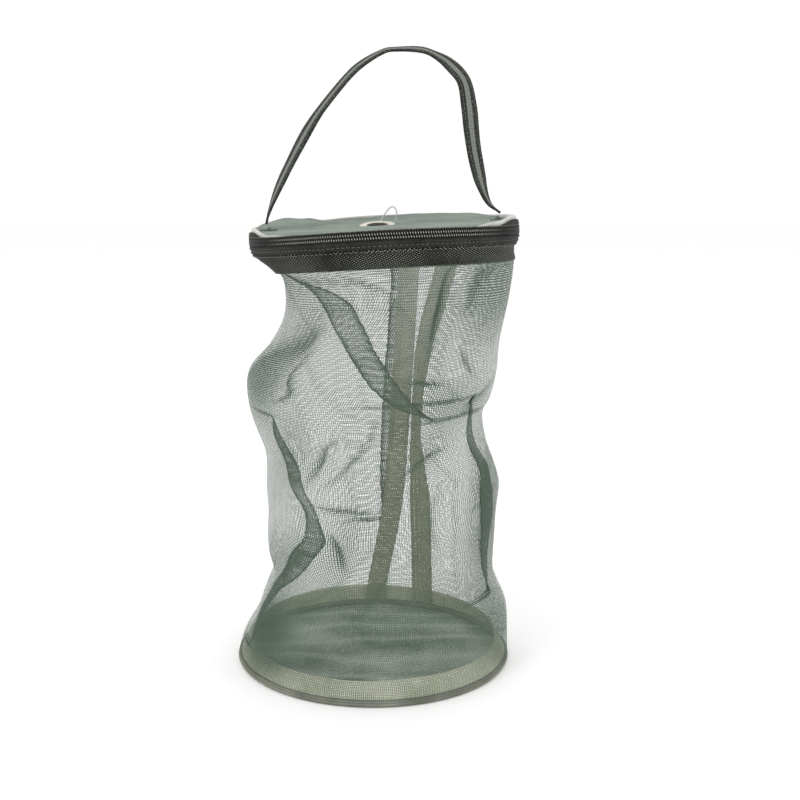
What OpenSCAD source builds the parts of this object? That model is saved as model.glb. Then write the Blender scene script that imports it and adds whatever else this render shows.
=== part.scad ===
// Folding mesh keep trap: a round mesh base, a soft mesh wall that folds flat,
// a rim with a zip round it, a round cloth lid with a port, and a webbing handle.
// The origin is the centre of the base's underside. +Z is up and the lid's hinge is at the back, +Y.
// The soft wall hangs a little to one side, so the rim stands off centre and tilted.

/* [Bag] */
// Outer diameter of the base, over its piping
base_d = 134; // [110:1:170]
// Outer diameter of the rim's cloth band
rim_d = 126; // [110:1:170]
// Height of the zip's middle above the floor, with the wall slack
rim_z = 209.6; // [160:0.2:250]
// How far the rim stands to the right of the base
rim_shift = 5; // [-8:0.1:8]
// Tilt of the rim, right side up
rim_tilt = 2.8; // [0:0.1:5]

/* [Base] */
// Diameter of the steel wire that holds the base round
base_wire_d = 1.8; // [1.2:0.1:2.4]
// Wall of the piping sewn round the wire
piping_wall = 0.7; // [0.5:0.1:1.2]
// Thickness of the base's two layers of mesh
base_panel_t = 0.8; // [0.5:0.1:1.5]
// Height of the tape that binds the foot of the wall
foot_tape_top = 11.5; // [7:0.5:18]

/* [Cloth] */
// Thickness of binding tape and zip tape
tape_t = 0.6; // [0.4:0.1:1]
// Thickness of the mesh wall
wall_t = 0.6; // [0.4:0.1:1]
// Width of the two tapes that bind the wall's seams
seam_tape_w = 10.6; // [6:0.2:16]

/* [Rim] */
// Height of the woven skirt below the zip tape
skirt_h = 9.9; // [6:0.1:16]
// Height of the zip tape below the middle of the zip
zip_tape_h = 4.6; // [4:0.1:8]
// Diameter of the wire in the rim
rim_wire_d = 1.8; // [1.2:0.1:2.4]

/* [Zip] */
// Width of the closed chain, over both rows of teeth
chain_w = 3.2; // [2.6:0.1:5]
// How far the teeth stand out from the tape
chain_t = 1.4; // [1:0.1:2]
// Gap between the two rows of teeth
chain_gap = 0.9; // [0.8:0.05:1.2]
// Angle at the back that the hinge takes up and the chain leaves out
hinge_arc = 50; // [30:2:80]
// Length of the slider along the chain
slider_l = 8; // [6:0.5:12]
// Thickness of each of the slider's plates
slider_plate_t = 0.9; // [0.6:0.1:1.4]
// Length of the pull tab, from its pin to its end
pull_l = 22; // [14:1:34]
// Width of the pull tab
pull_w = 4.4; // [4.2:0.1:7]

/* [Lid] */
// Thickness of the lid's cloth
lid_panel_t = 0.8; // [0.5:0.1:1.5]
// Height of the binding round the lid's edge
lid_band_h = 2.8; // [2:0.1:6]
// Thickness of the plastic strip that keeps the lid round
stiffener_t = 0.8; // [0.5:0.1:1.2]
// Radius of the hole through the port
port_bore_r = 5; // [3:0.1:7]
// Width of the port's flange
port_flange_w = 4.1; // [2.5:0.1:6]
// How far the port stands to the left of the lid's centre
port_shift = 3; // [0:0.5:12]
// Thickness of the line that the clear loop is made of
loop_line_d = 0.8; // [0.6:0.1:1.2]
// Width of the clear loop, over its two legs
loop_w = 8; // [5:0.5:12]
// Height of the clear loop above the lid
loop_h = 7.6; // [6:0.2:16]

/* [Handle] */
// Width of the handle's webbing
strap_w = 9.5; // [6:0.5:16]
// Thickness of the handle's webbing
strap_t = 1.2; // [0.8:0.1:2]
// Distance from the lid's centre to each end of the handle
anchor_x = 55.5; // [46:0.5:58]
// Height of the handle above its two ends
handle_h = 78; // [60:1:110]
// Length of the taper that narrows the webbing to its folded end
strap_taper = 14; // [12:0.5:24]

/* [Hidden] */

$fn = 128;
fit = 0.05;               // gap left round a wire in its piping
clear = 0.3;              // gap between soft pieces that move apart
over = 1;                 // how far a cutter runs past what it cuts
piece_fn = 32;            // facets on small round pieces

// Base
base_r = base_d / 2;
piping_r = base_wire_d / 2 + fit + piping_wall;
piping_mid = base_r - piping_r;
foot_r = piping_mid + 1;
wall_foot_r = foot_r - tape_t - clear;
wall_foot_z = 2 * piping_r + 0.2;

// Rim and zip, measured from the middle of the zip in the rim's own tilted frame
rim_r = rim_d / 2;
band_in = rim_r - tape_t;
gap_h = chain_gap / 2;
row_top = chain_w / 2;
slider_h = row_top + 1;
band_z = slider_h + 0.2;
skirt_foot = -zip_tape_h - skirt_h;
rim_wire_r = rim_wire_d / 2 + fit + tape_t;
rim_wire_z = -zip_tape_h - rim_wire_r;
rim_wire_mid = band_in - rim_wire_r;
chain_start = 90 + hinge_arc / 2;
chain_sweep = 360 - hinge_arc;
stop_arc = 1.2;

// Slider
plate_in = band_in - clear - slider_plate_t;
plate_out = rim_r + chain_t + 0.5;
plate_face = plate_out + slider_plate_t;
slider_arc = slider_l / plate_out * 180 / PI;
slider_park = chain_start + stop_arc + slider_arc / 2 + 0.5;
post_arc = 1.2;
post_h = gap_h - 0.2;
pin_r = 0.5;
eye_r = pin_r + clear;
bridge_r = eye_r + 0.7;
bridge_w = 1.6;
eye_mid = plate_face + eye_r + 0.2;
arm_gap = bridge_w / 2 + clear;

// Lid
lid_inner_r = band_in - clear - stiffener_t;
lid_top = band_z + lid_panel_t;
port_flange_r = port_bore_r + port_flange_w;
port_flange_t = 0.9;
washer_t = 0.5;
barrel_wall = 0.6;
loop_x = 2.4;
loop_y = 12;
tab_w = 9;
tab_l = 11;

// Handle
pivot_z = lid_top + tape_t + 1.6;
neck_w = 2.4;
roll_r = 0.9;
neck_start = roll_r + clear;
// The webbing's middle line, as shares of the distance to an end and of the height,
// which runs up the left leg, over the top and down the right leg.
strap_line = [
    [-1.00, 0.000], [-0.965, 0.068], [-0.877, 0.204], [-0.734, 0.391], [-0.56, 0.592],
    [-0.388, 0.740], [-0.168, 0.903], [-0.05, 0.965], [0.06, 0.994], [0.19, 1.000],
    [0.36, 0.995], [0.47, 0.968], [0.607, 0.910], [0.735, 0.830],
    [0.765, 0.720], [0.765, 0.582], [0.796, 0.373], [0.845, 0.168], [0.90, 0.070], [1.00, 0.000]
];

// The wall's shape between its foot and the rim, from hand-set rows: share of the height,
// sideways shift in shares of the foot's radius, and the half widths across and fore and aft.
wall_rows = [
    [0.00, 0.000, 1.00, 1.00], [0.06, 0.033, 0.965, 0.99], [0.14, 0.077, 0.91, 0.96],
    [0.22, 0.069, 0.83, 0.93], [0.33, 0.066, 0.85, 0.92], [0.45, 0.068, 0.86, 0.93],
    [0.54, 0.021, 0.83, 0.93], [0.62, -0.028, 0.84, 0.93], [0.71, -0.022, 0.91, 0.94],
    [0.81, 0.082, 0.85, 0.94], [0.92, 0.170, 0.81, 0.94], [1.00, 0.145, 0.85, 0.94]
];
wall_top_z = rim_z + skirt_foot - rim_r * sin(rim_tilt) - 0.4;
wall_sides = 48;
seam_rows = len(wall_rows);
// Angles of the two seam tapes at the foot and at the rim, from the +X side
seam_left_angles = [88, 82];
seam_right_angles = [66, 62];

// Puts what is drawn round the zip's middle where the rim stands
module on_rim() {
    translate([rim_shift, 0, rim_z])
        rotate([0, -rim_tilt, 0])
            children();
}

// A ring with a plain rectangular section, over part of a turn
module band(r_in, r_out, z_low, z_high, start = 0, sweep = 360) {
    rotate([0, 0, start])
        rotate_extrude(angle = sweep)
            translate([r_in, z_low])
                square([r_out - r_in, z_high - z_low]);
}

// A ring with a round section
module hoop(mid_r, z_mid, section_r) {
    translate([0, 0, z_mid])
        rotate_extrude()
            translate([mid_r, 0])
                circle(section_r, $fn = piece_fn);
}

// A point on the wall: turn round it, row of the shape, and how far inside its outer face
function wall_point(turn, row, inset) =
    let (shape = wall_rows[row], z = wall_foot_z + shape[0] * (wall_top_z - wall_foot_z))
    [
        wall_foot_r * shape[1] + (wall_foot_r * shape[2] - inset) * cos(turn),
        (wall_foot_r * shape[3] - inset) * sin(turn),
        z
    ];

// A closed skin between two insets of the wall, all the way round
module wall_tube(inset_out, inset_in) {
    rows = len(wall_rows);
    outer = [for (row = [0:rows - 1]) for (i = [0:wall_sides - 1]) wall_point(360 * i / wall_sides, row, inset_out)];
    inner = [for (row = [0:rows - 1]) for (i = [0:wall_sides - 1]) wall_point(360 * i / wall_sides, row, inset_in)];
    half = rows * wall_sides;
    function at(row, i) = row * wall_sides + i % wall_sides;
    sides = [for (row = [0:rows - 2]) for (i = [0:wall_sides - 1])
        each [
            [at(row, i), at(row + 1, i), at(row + 1, i + 1)],
            [at(row, i), at(row + 1, i + 1), at(row, i + 1)],
            [half + at(row, i), half + at(row + 1, i + 1), half + at(row + 1, i)],
            [half + at(row, i), half + at(row, i + 1), half + at(row + 1, i + 1)]
        ]];
    top = rows - 1;
    ends = [for (i = [0:wall_sides - 1])
        each [
            [at(0, i), at(0, i + 1), half + at(0, i + 1)],
            [at(0, i), half + at(0, i + 1), half + at(0, i)],
            [at(top, i), half + at(top, i + 1), at(top, i + 1)],
            [at(top, i), half + at(top, i), half + at(top, i + 1)]
        ]];
    polyhedron(points = concat(outer, inner), faces = concat(sides, ends), convexity = 4);
}

// A strip that lies inside the wall, from its foot to the rim
module seam_tape(angles) {
    half_turn = seam_tape_w / 2 / wall_foot_r * 180 / PI;
    steps = 3;
    inset_out = wall_t + clear;
    rings = [for (row = [0:seam_rows - 1])
        let (middle = angles[0] + (angles[1] - angles[0]) * wall_rows[row][0])
        concat(
            [for (i = [0:steps]) wall_point(middle - half_turn + 2 * half_turn * i / steps, row, inset_out)],
            [for (i = [steps:-1:0])
                wall_point(middle - half_turn + 2 * half_turn * i / steps, row, inset_out + tape_t)]
        )];
    ring_n = 2 * (steps + 1);
    points = [for (ring = rings) each ring];
    sides = [for (row = [0:seam_rows - 2]) for (i = [0:ring_n - 1])
        each [
            [row * ring_n + i, (row + 1) * ring_n + i, (row + 1) * ring_n + (i + 1) % ring_n],
            [row * ring_n + i, (row + 1) * ring_n + (i + 1) % ring_n, row * ring_n + (i + 1) % ring_n]
        ]];
    top = (seam_rows - 1) * ring_n;
    quads = [for (i = [0:steps - 1])
        each [
            [i, i + 1, ring_n - 2 - i],
            [i, ring_n - 2 - i, ring_n - 1 - i],
            [top + i, top + ring_n - 2 - i, top + i + 1],
            [top + i, top + ring_n - 1 - i, top + ring_n - 2 - i]
        ]];
    polyhedron(points = points, faces = concat(sides, quads), convexity = 4);
}

// Base ---------------------------------------------------------------

module base_panel() {
    color("#6b766a")
        difference() {
            cylinder(h = base_panel_t, r = piping_mid - 0.5);
            hoop(piping_mid, piping_r, piping_r);
        }
}

module base_wire() {
    color("silver") hoop(piping_mid, piping_r, base_wire_d / 2);
}

module base_piping() {
    color("#6e7066")
        difference() {
            hoop(piping_mid, piping_r, piping_r);
            hoop(piping_mid, piping_r, piping_r - piping_wall);
        }
}

module foot_tape() {
    color("#7b8072")
        difference() {
            band(foot_r - tape_t, foot_r, piping_r, foot_tape_top);
            hoop(piping_mid, piping_r, piping_r);
        }
}

// Wall ---------------------------------------------------------------

module mesh_wall() {
    color("#8d9a8e", 0.5) wall_tube(0, wall_t);
}

module seam_tape_left() {
    color("#98997f") seam_tape(seam_left_angles);
}

module seam_tape_right() {
    color("#98997f") seam_tape(seam_right_angles);
}

// Rim ----------------------------------------------------------------

module skirt_band() {
    color("#363832")
        on_rim() band(band_in, rim_r, skirt_foot, -zip_tape_h);
}

module rim_wire_tunnel() {
    color("#363832")
        on_rim()
            difference() {
                hoop(rim_wire_mid, rim_wire_z, rim_wire_r);
                hoop(rim_wire_mid, rim_wire_z, rim_wire_r - tape_t);
            }
}

module rim_wire() {
    color("silver")
        on_rim() hoop(rim_wire_mid, rim_wire_z, rim_wire_d / 2);
}

module zip_tape_lower() {
    color("#373934")
        on_rim() band(band_in, rim_r, -zip_tape_h, -gap_h);
}

module zip_teeth_lower() {
    color("#1f201d")
        on_rim() band(rim_r, rim_r + chain_t, -row_top, -gap_h, chain_start, chain_sweep);
}

// A pair of crimped clips, one past each end of a row of teeth
module stops(z_low, z_high) {
    for (start = [chain_start - stop_arc - 0.2, chain_start + chain_sweep + 0.2])
        band(rim_r, rim_r + chain_t, z_low, z_high, start, stop_arc);
}

module zip_stops_lower() {
    color("#55574f") on_rim() stops(-row_top - 0.2, -gap_h);
}

module hinge_tape() {
    color("#373934")
        on_rim()
            band(rim_r + fit, rim_r + fit + tape_t, -zip_tape_h + 1, gap_h - 0.15,
                90 - hinge_arc / 2 + 2.5, hinge_arc - 5);
}

// Lid ----------------------------------------------------------------

module lid_panel() {
    color("#8a9391")
        on_rim()
            difference() {
                translate([0, 0, band_z])
                    cylinder(h = lid_panel_t, r = lid_inner_r);
                translate([-port_shift, 0, band_z - over])
                    cylinder(h = lid_panel_t + 2 * over, r = port_bore_r + barrel_wall, $fn = piece_fn);
            }
}

module lid_stiffener() {
    color("white")
        on_rim() band(lid_inner_r, lid_inner_r + stiffener_t, band_z, band_z + lid_band_h - 0.4);
}

module lid_binding() {
    color("#393936")
        on_rim() band(band_in, rim_r + 0.2, band_z, band_z + lid_band_h);
}

module zip_tape_upper() {
    color("#373934")
        on_rim() band(band_in, rim_r, gap_h, band_z);
}

module zip_teeth_upper() {
    color("#1f201d")
        on_rim() band(rim_r, rim_r + chain_t, gap_h, row_top, chain_start, chain_sweep);
}

module zip_stops_upper() {
    color("#55574f") on_rim() stops(gap_h, row_top + 0.2);
}

// The port is a two-part eyelet: a flanged ring from above and a washer below
module port_ring() {
    color("#d8d2c4")
        on_rim()
            translate([-port_shift, 0, 0])
                difference() {
                    union() {
                        translate([0, 0, band_z - washer_t])
                            cylinder(h = lid_panel_t + washer_t + port_flange_t / 2,
                                r = port_bore_r + barrel_wall, $fn = piece_fn);
                        translate([0, 0, lid_top])
                            cylinder(h = port_flange_t, r = port_flange_r);
                    }
                    translate([0, 0, band_z - washer_t - over])
                        cylinder(h = lid_panel_t + washer_t + port_flange_t + 2 * over, r = port_bore_r);
                }
}

module port_washer() {
    color("#d8d2c4")
        on_rim()
            translate([-port_shift, 0, 0])
                band(port_bore_r + barrel_wall, port_flange_r - 1, band_z - washer_t, band_z);
}

module clear_loop() {
    bend_r = (loop_w - loop_line_d) / 2;
    leg_h = loop_h - bend_r - loop_line_d / 2;
    color("white", 0.4)
        on_rim()
            translate([loop_x, loop_y, lid_top]) {
                for (side = [-1, 1])
                    translate([side * bend_r, 0, 0])
                        cylinder(h = leg_h, d = loop_line_d, $fn = piece_fn);
                translate([0, 0, leg_h])
                    rotate([90, 0, 0])
                        rotate_extrude(angle = 180)
                            translate([bend_r, 0])
                                circle(d = loop_line_d, $fn = piece_fn);
            }
}

// Handle -------------------------------------------------------------

// A patch sewn to the lid, with a rolled loop on top that the end of the webbing turns about
module handle_tab(side) {
    web_t = 1;
    color("#3a3c36")
        on_rim()
            translate([side * anchor_x - tab_w / 2, 0, 0]) {
                translate([0, -tab_l / 2, lid_top])
                    cube([tab_w, tab_l, tape_t]);
                translate([0, -web_t / 2, lid_top])
                    cube([tab_w, web_t, pivot_z - lid_top]);
                translate([0, 0, pivot_z])
                    rotate([0, 90, 0])
                        cylinder(h = tab_w, r = roll_r, $fn = piece_fn);
            }
}

module handle_tab_left() {
    handle_tab(-1);
}

module handle_tab_right() {
    handle_tab(1);
}

// The outline of a strip of the given thickness along the strap's line, seen from the front
function strap_at(i) = [strap_line[i][0] * anchor_x, strap_line[i][1] * handle_h];
function strap_normal(i) =
    let (
        last = len(strap_line) - 1,
        step = strap_at(min(i + 1, last)) - strap_at(max(i - 1, 0))
    )
    [-step[1], step[0]] / norm(step);
function strap_edge(offset) = [for (i = [0:len(strap_line) - 1]) strap_at(i) + offset * strap_normal(i)];

module strap_strip(low, high) {
    upper = strap_edge(high);
    lower = strap_edge(low);
    count = len(strap_line);
    translate([0, strap_w, 0])
        rotate([90, 0, 0])
            linear_extrude(2 * strap_w)
                polygon(concat(upper, [for (i = [count - 1:-1:0]) lower[i]]));
}

// The webbing seen from the side: folded narrow at its two ends and full width above the taper
module strap_side(full_w) {
    reach = anchor_x + 5;
    translate([-reach, 0, 0])
        rotate([90, 0, 90])
            linear_extrude(2 * reach)
                polygon([
                    [-neck_w / 2, neck_start], [neck_w / 2, neck_start], [full_w / 2, strap_taper],
                    [full_w / 2, handle_h + 5], [-full_w / 2, handle_h + 5], [-full_w / 2, strap_taper]
                ]);
}

module handle_strap() {
    color("#363b35")
        on_rim()
            translate([0, 0, pivot_z])
                intersection() {
                    strap_strip(-strap_t / 2, strap_t / 2);
                    strap_side(strap_w);
                }
}

// The raised line of binding along the middle of the webbing's outer face
module handle_stitching() {
    color("#8c9088")
        on_rim()
            translate([0, 0, pivot_z])
                intersection() {
                    strap_strip(strap_t / 2, strap_t / 2 + 0.4);
                    translate([-anchor_x, -1.1, strap_taper])
                        cube([2 * anchor_x, 2.2, handle_h]);
                }
}

// Slider -------------------------------------------------------------

// Turns what is drawn at the +X side of the rim to where the slider is parked
module at_slider() {
    on_rim() rotate([0, 0, slider_park]) children();
}

module slider_body() {
    color("#4a4c47")
        at_slider() {
            band(plate_out, plate_face, -slider_h, slider_h, -slider_arc / 2, slider_arc);
            band(plate_in, plate_in + slider_plate_t, -slider_h, slider_h, -slider_arc / 2, slider_arc);
            band(plate_in + slider_plate_t / 2, plate_out + slider_plate_t / 2, -post_h, post_h,
                slider_arc / 2 - post_arc - 0.4, post_arc);
        }
}

module slider_bridge() {
    color("#4a4c47")
        at_slider()
            difference() {
                translate([eye_mid, 0, -bridge_w / 2])
                    linear_extrude(bridge_w)
                        difference() {
                            union() {
                                circle(bridge_r, $fn = piece_fn);
                                translate([-eye_r - over, -bridge_r])
                                    square([eye_r + over, 2 * bridge_r]);
                            }
                            circle(eye_r, $fn = piece_fn);
                        }
                translate([0, 0, -bridge_w])
                    cylinder(h = 2 * bridge_w, r = plate_face);
            }
}

module pull_tab() {
    arm_t = 0.6;
    plate_start = bridge_r + 0.8;
    color("#4a4c47")
        at_slider()
            translate([eye_mid, 0, 0])
                rotate([0, 0, 90]) {
                    translate([0, 0, -arm_gap - arm_t])
                        cylinder(h = 2 * (arm_gap + arm_t), r = pin_r, $fn = piece_fn);
                    for (side = [-1, 1])
                        translate([-pin_r, -pin_r, side * (arm_gap + arm_t / 2) - arm_t / 2])
                            cube([plate_start + 2 * pin_r, 2 * pin_r, arm_t]);
                    difference() {
                        translate([plate_start, -pin_r, -pull_w / 2])
                            cube([pull_l - plate_start, 2 * pin_r, pull_w]);
                        translate([pull_l - pull_w / 2, pin_r + over, 0])
                            rotate([90, 0, 0])
                                cylinder(h = 2 * pin_r + 2 * over, r = pull_w / 4, $fn = piece_fn);
                    }
                }
}

base_panel();
base_wire();
base_piping();
foot_tape();
mesh_wall();
seam_tape_left();
seam_tape_right();
skirt_band();
rim_wire_tunnel();
rim_wire();
zip_tape_lower();
zip_teeth_lower();
zip_stops_lower();
hinge_tape();
lid_panel();
lid_stiffener();
lid_binding();
zip_tape_upper();
zip_teeth_upper();
zip_stops_upper();
port_ring();
port_washer();
clear_loop();
handle_tab_left();
handle_tab_right();
handle_strap();
handle_stitching();
slider_body();
slider_bridge();
pull_tab();
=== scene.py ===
import math

import bpy
import numpy as np
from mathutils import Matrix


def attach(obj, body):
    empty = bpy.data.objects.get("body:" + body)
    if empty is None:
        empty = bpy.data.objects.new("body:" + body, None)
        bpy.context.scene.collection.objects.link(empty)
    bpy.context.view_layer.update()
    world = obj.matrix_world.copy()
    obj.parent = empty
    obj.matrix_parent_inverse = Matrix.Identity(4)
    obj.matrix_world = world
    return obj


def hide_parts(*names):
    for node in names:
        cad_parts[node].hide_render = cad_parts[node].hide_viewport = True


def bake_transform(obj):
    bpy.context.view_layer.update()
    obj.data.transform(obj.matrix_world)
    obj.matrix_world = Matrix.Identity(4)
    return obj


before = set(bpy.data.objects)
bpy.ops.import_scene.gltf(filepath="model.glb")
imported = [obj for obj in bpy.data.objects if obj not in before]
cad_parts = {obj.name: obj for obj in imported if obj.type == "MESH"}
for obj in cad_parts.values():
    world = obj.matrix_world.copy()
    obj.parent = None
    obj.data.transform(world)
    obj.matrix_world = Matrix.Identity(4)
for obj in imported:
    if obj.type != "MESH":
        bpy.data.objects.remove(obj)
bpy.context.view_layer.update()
mm = 0.001
print("frame loaded:", len(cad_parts), "nodes")

# camera, floor and light

cameraSetup = {"place": (0.0, -0.6001, 0.2452), "pitch": 81.0, "lens": 56.66, "shift": (0.0334, -0.0569)}
lightSetup = {
    "sky": (1.0, 1.0, 1.0), "skyPower": 1.02, "floorColour": (0.97, 0.97, 0.965),
    # name, place, size, watts
    "lamps": [("keyLamp", (-0.7, -0.8, 1.1), 0.5, 4.5), ("fillLamp", (0.9, -0.6, 0.5), 0.4, 1.5),
              ("backLamp", (0.2, 0.9, 0.9), 0.8, 1.5)],
    "aim": (0.0, 0.0, 0.13),
}


def aimAt(obj, target):
    way = np.array(target) - np.array(obj.location)
    flat = math.hypot(way[0], way[1])
    obj.rotation_euler = (math.pi / 2 + math.atan2(way[2], flat), 0, math.atan2(-way[0], way[1]))


def makeStage():
    scene = bpy.context.scene
    lens = bpy.data.cameras.new("viewCamera")
    lens.lens = cameraSetup["lens"]
    lens.sensor_width = 36
    lens.shift_x, lens.shift_y = cameraSetup["shift"]
    lens.clip_start, lens.clip_end = 0.02, 20
    camera = bpy.data.objects.new("viewCamera", lens)
    camera.location = cameraSetup["place"]
    camera.rotation_euler = (math.radians(cameraSetup["pitch"]), 0, 0)
    scene.collection.objects.link(camera)
    scene.camera = camera
    scene.view_settings.view_transform = "Standard"

    world = bpy.data.worlds.new("studioSky")
    world.use_nodes = True
    sky = world.node_tree.nodes["Background"]
    sky.inputs["Color"].default_value = (*lightSetup["sky"], 1)
    sky.inputs["Strength"].default_value = lightSetup["skyPower"]
    scene.world = world
    for name, place, size, watts in lightSetup["lamps"]:
        lamp = bpy.data.lights.new(name, "AREA")
        lamp.shape, lamp.size, lamp.energy = "DISK", size, watts
        lampObject = bpy.data.objects.new(name, lamp)
        lampObject.location = place
        aimAt(lampObject, lightSetup["aim"])
        scene.collection.objects.link(lampObject)

    bpy.ops.mesh.primitive_plane_add(size=8, location=(0, 0, -0.0002))
    floor = bpy.context.object
    floor.name = "studioFloor"
    paint = bpy.data.materials.new("floorPaint")
    paint.use_nodes = True
    shader = paint.node_tree.nodes["Principled BSDF"]
    shader.inputs["Base Color"].default_value = (*lightSetup["floorColour"], 1)
    shader.inputs["Roughness"].default_value = 0.9
    floor.data.materials.append(paint)


makeStage()
print("camera, floor and lamps ready")

# node and mesh helpers


def addNode(tree, kind, values=None, **settings):
    # values go to input sockets by name or number: a socket is linked, anything else is set
    node = tree.nodes.new(kind)
    for key, value in settings.items():
        setattr(node, key, value)
    for key, value in (values or {}).items():
        if isinstance(value, bpy.types.NodeSocket):
            tree.links.new(value, node.inputs[key])
        else:
            node.inputs[key].default_value = value
    return node


def calc(tree, operation, *values, clamp=False):
    node = addNode(tree, "ShaderNodeMath", dict(enumerate(values)), operation=operation, use_clamp=clamp)
    return node.outputs[0]


def vectorCalc(tree, operation, *values):
    return addNode(tree, "ShaderNodeVectorMath", dict(enumerate(values)), operation=operation).outputs


def mixColour(tree, share, first, second, blend="MIX"):
    node = tree.nodes.new("ShaderNodeMix")
    node.data_type, node.blend_type = "RGBA", blend
    for slot, value in ((0, share), (6, first), (7, second)):
        if isinstance(value, bpy.types.NodeSocket):
            tree.links.new(value, node.inputs[slot])
        elif slot:
            node.inputs[slot].default_value = (*value, 1)
        else:
            node.inputs[slot].default_value = value
    return node.outputs[2]


def shade(*byteColour):
    # screen colour 0-255 to the linear values that the shader takes
    return tuple((c / 255 / 12.92) if c <= 10 else ((c / 255 + 0.055) / 1.055) ** 2.4 for c in byteColour)


def newMaterial(name):
    material = bpy.data.materials.new(name)
    material.use_nodes = True
    tree = material.node_tree
    return material, tree, tree.nodes["Principled BSDF"], tree.nodes["Material Output"]


def makeMesh(name, points, faces, cornerUvs, material):
    mesh = bpy.data.meshes.new(name)
    mesh.from_pydata([tuple(p) for p in np.asarray(points, float).reshape(-1, 3)], [], faces)
    mesh.polygons.foreach_set("use_smooth", [True] * len(mesh.polygons))
    layer = mesh.uv_layers.new(name="clothUv")
    layer.data.foreach_set("uv", np.asarray(cornerUvs, np.float32).ravel())
    mesh.materials.append(material)
    mesh.update()
    obj = bpy.data.objects.new(name, mesh)
    bpy.context.scene.collection.objects.link(obj)
    return obj


def gridFaces(rows, cols, wrapRows, wrapCols, flip):
    # faces over a rows x cols grid of points, and for each corner its place in the uv grid
    faces, corners = [], []
    uvCols = cols + (1 if wrapCols else 0)
    for i in range(rows if wrapRows else rows - 1):
        for j in range(cols if wrapCols else cols - 1):
            ring = [(i, j), (i, j + 1), (i + 1, j + 1), (i + 1, j)]
            if flip:
                ring.reverse()
            faces.append(tuple((a % rows) * cols + (b % cols) for a, b in ring))
            corners.extend(a * uvCols + b for a, b in ring)
    return faces, corners


def gridPiece(name, points, uvs, material, wrapRows=False, wrapCols=False, flip=False, caps=False):
    rows, cols = points.shape[:2]
    faces, corners = gridFaces(rows, cols, wrapRows, wrapCols, flip)
    cornerUvs = uvs.reshape(-1, 2)[corners]
    if caps:
        first, last = list(range(cols)), [(rows - 1) * cols + j for j in range(cols)]
        ends = [first if flip else first[::-1], last[::-1] if flip else last]
        faces.extend(tuple(e) for e in ends)
        cornerUvs = np.vstack([cornerUvs, np.zeros((2 * cols, 2))])
    return makeMesh(name, points, faces, cornerUvs, material)


def sweptPiece(name, sections, material, closedPath=False):
    # sections: steps x section points x 3, in metres; each section is a closed loop
    sections = np.asarray(sections, float)
    centres = sections.mean(1)
    steps = np.linalg.norm(np.diff(np.vstack([centres, centres[:1]]), axis=0), axis=1)
    along = np.concatenate([[0], np.cumsum(steps)])
    middle = sections[len(sections) // 2]
    around = np.linalg.norm(np.diff(np.vstack([middle, middle[:1]]), axis=0), axis=1)
    across = np.concatenate([[0], np.cumsum(around)])
    rows, cols = sections.shape[:2]
    u, v = np.meshgrid(along[:rows + (1 if closedPath else 0)], across[:cols + 1], indexing="ij")
    uvs = np.stack([u, v], -1)
    # outward faces: the sign of the first section's area against the way of the path
    a, b = sections[0], np.roll(sections[0], -1, 0)
    facing = np.cross(a - centres[0], b - centres[0]).sum(0) @ (centres[1] - centres[0])
    return gridPiece(name, sections, uvs, material, closedPath, True, facing > 0, caps=not closedPath)


def smoothCurve(points, count):
    # a smooth line through a few points, evenly spaced along its length
    points = np.asarray(points, float)
    longer = np.vstack([2 * points[0] - points[1], points, 2 * points[-1] - points[-2]])
    line = []
    for k in range(len(points) - 1):
        p0, p1, p2, p3 = longer[k:k + 4]
        t = np.linspace(0, 1, 24, endpoint=False)[:, None]
        line.append(0.5 * (2 * p1 + (p2 - p0) * t + (2 * p0 - 5 * p1 + 4 * p2 - p3) * t ** 2
                           + (3 * p1 - p0 - 3 * p2 + p3) * t ** 3))
    line = np.vstack(line + [points[-1:]])
    far = np.concatenate([[0], np.cumsum(np.linalg.norm(np.diff(line, axis=0), axis=1))])
    at = np.linspace(0, far[-1], count)
    return np.stack([np.interp(at, far, line[:, k]) for k in range(line.shape[1])], -1)


def easeIn(t):
    # a smooth step from 0 to 1
    t = np.clip(t, 0, 1)
    return t * t * (3 - 2 * t)


def softTable(x, pairs, period=None):
    # smooth values between a few (place, value) pairs, which may repeat after a period
    pairs = np.asarray(pairs, float)
    if period:
        pairs = np.vstack([pairs - [period, 0], pairs, pairs + [period, 0]])
    x = np.asarray(x, float)
    k = np.clip(np.searchsorted(pairs[:, 0], x) - 1, 0, len(pairs) - 2)
    t = easeIn((x - pairs[k, 0]) / (pairs[k + 1, 0] - pairs[k, 0]))
    return pairs[k, 1] * (1 - t) + pairs[k + 1, 1] * t


def smoothTable(x, pairs):
    # like softTable, but on a smooth line through the pairs
    line = smoothCurve(pairs, 400)
    order = np.argsort(line[:, 0])
    return np.interp(x, line[order, 0], line[order, 1])


def waves(u, v, seed, count=6, low=1.0, high=4.0):
    # a soft seeded unevenness from a few sine waves, about -1 to 1
    rng = np.random.default_rng(seed)
    total = np.zeros(np.broadcast(u, v).shape)
    for _ in range(count):
        fu, fv = rng.integers(1, 1 + int(high)), rng.uniform(low, high)
        total = total + rng.uniform(0.4, 1) * np.sin(2 * math.pi * (fu * u + fv * v) + rng.uniform(0, 6.28))
    return total / math.sqrt(count)


# The rim and lid lie in a plane that is shifted to the right and tilted; all in millimetres and degrees.
# saddle: front and back ride up and the sides dip by this much at the rim
rimPlane = {"shift": 5.0, "height": 209.6, "tilt": 2.8, "saddle": 1.7, "radius": 63.0}

# materials


def threadMask(tree, coordinate, pitch, share):
    # 1 on a thread and 0 in the gap, for threads that fill this share of one UV direction
    turn = calc(tree, "FRACT", calc(tree, "DIVIDE", coordinate, pitch))
    off = calc(tree, "ABSOLUTE", calc(tree, "SUBTRACT", turn, 0.5))
    return calc(tree, "LESS_THAN", off, calc(tree, "MULTIPLY", share, 0.5))


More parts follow.
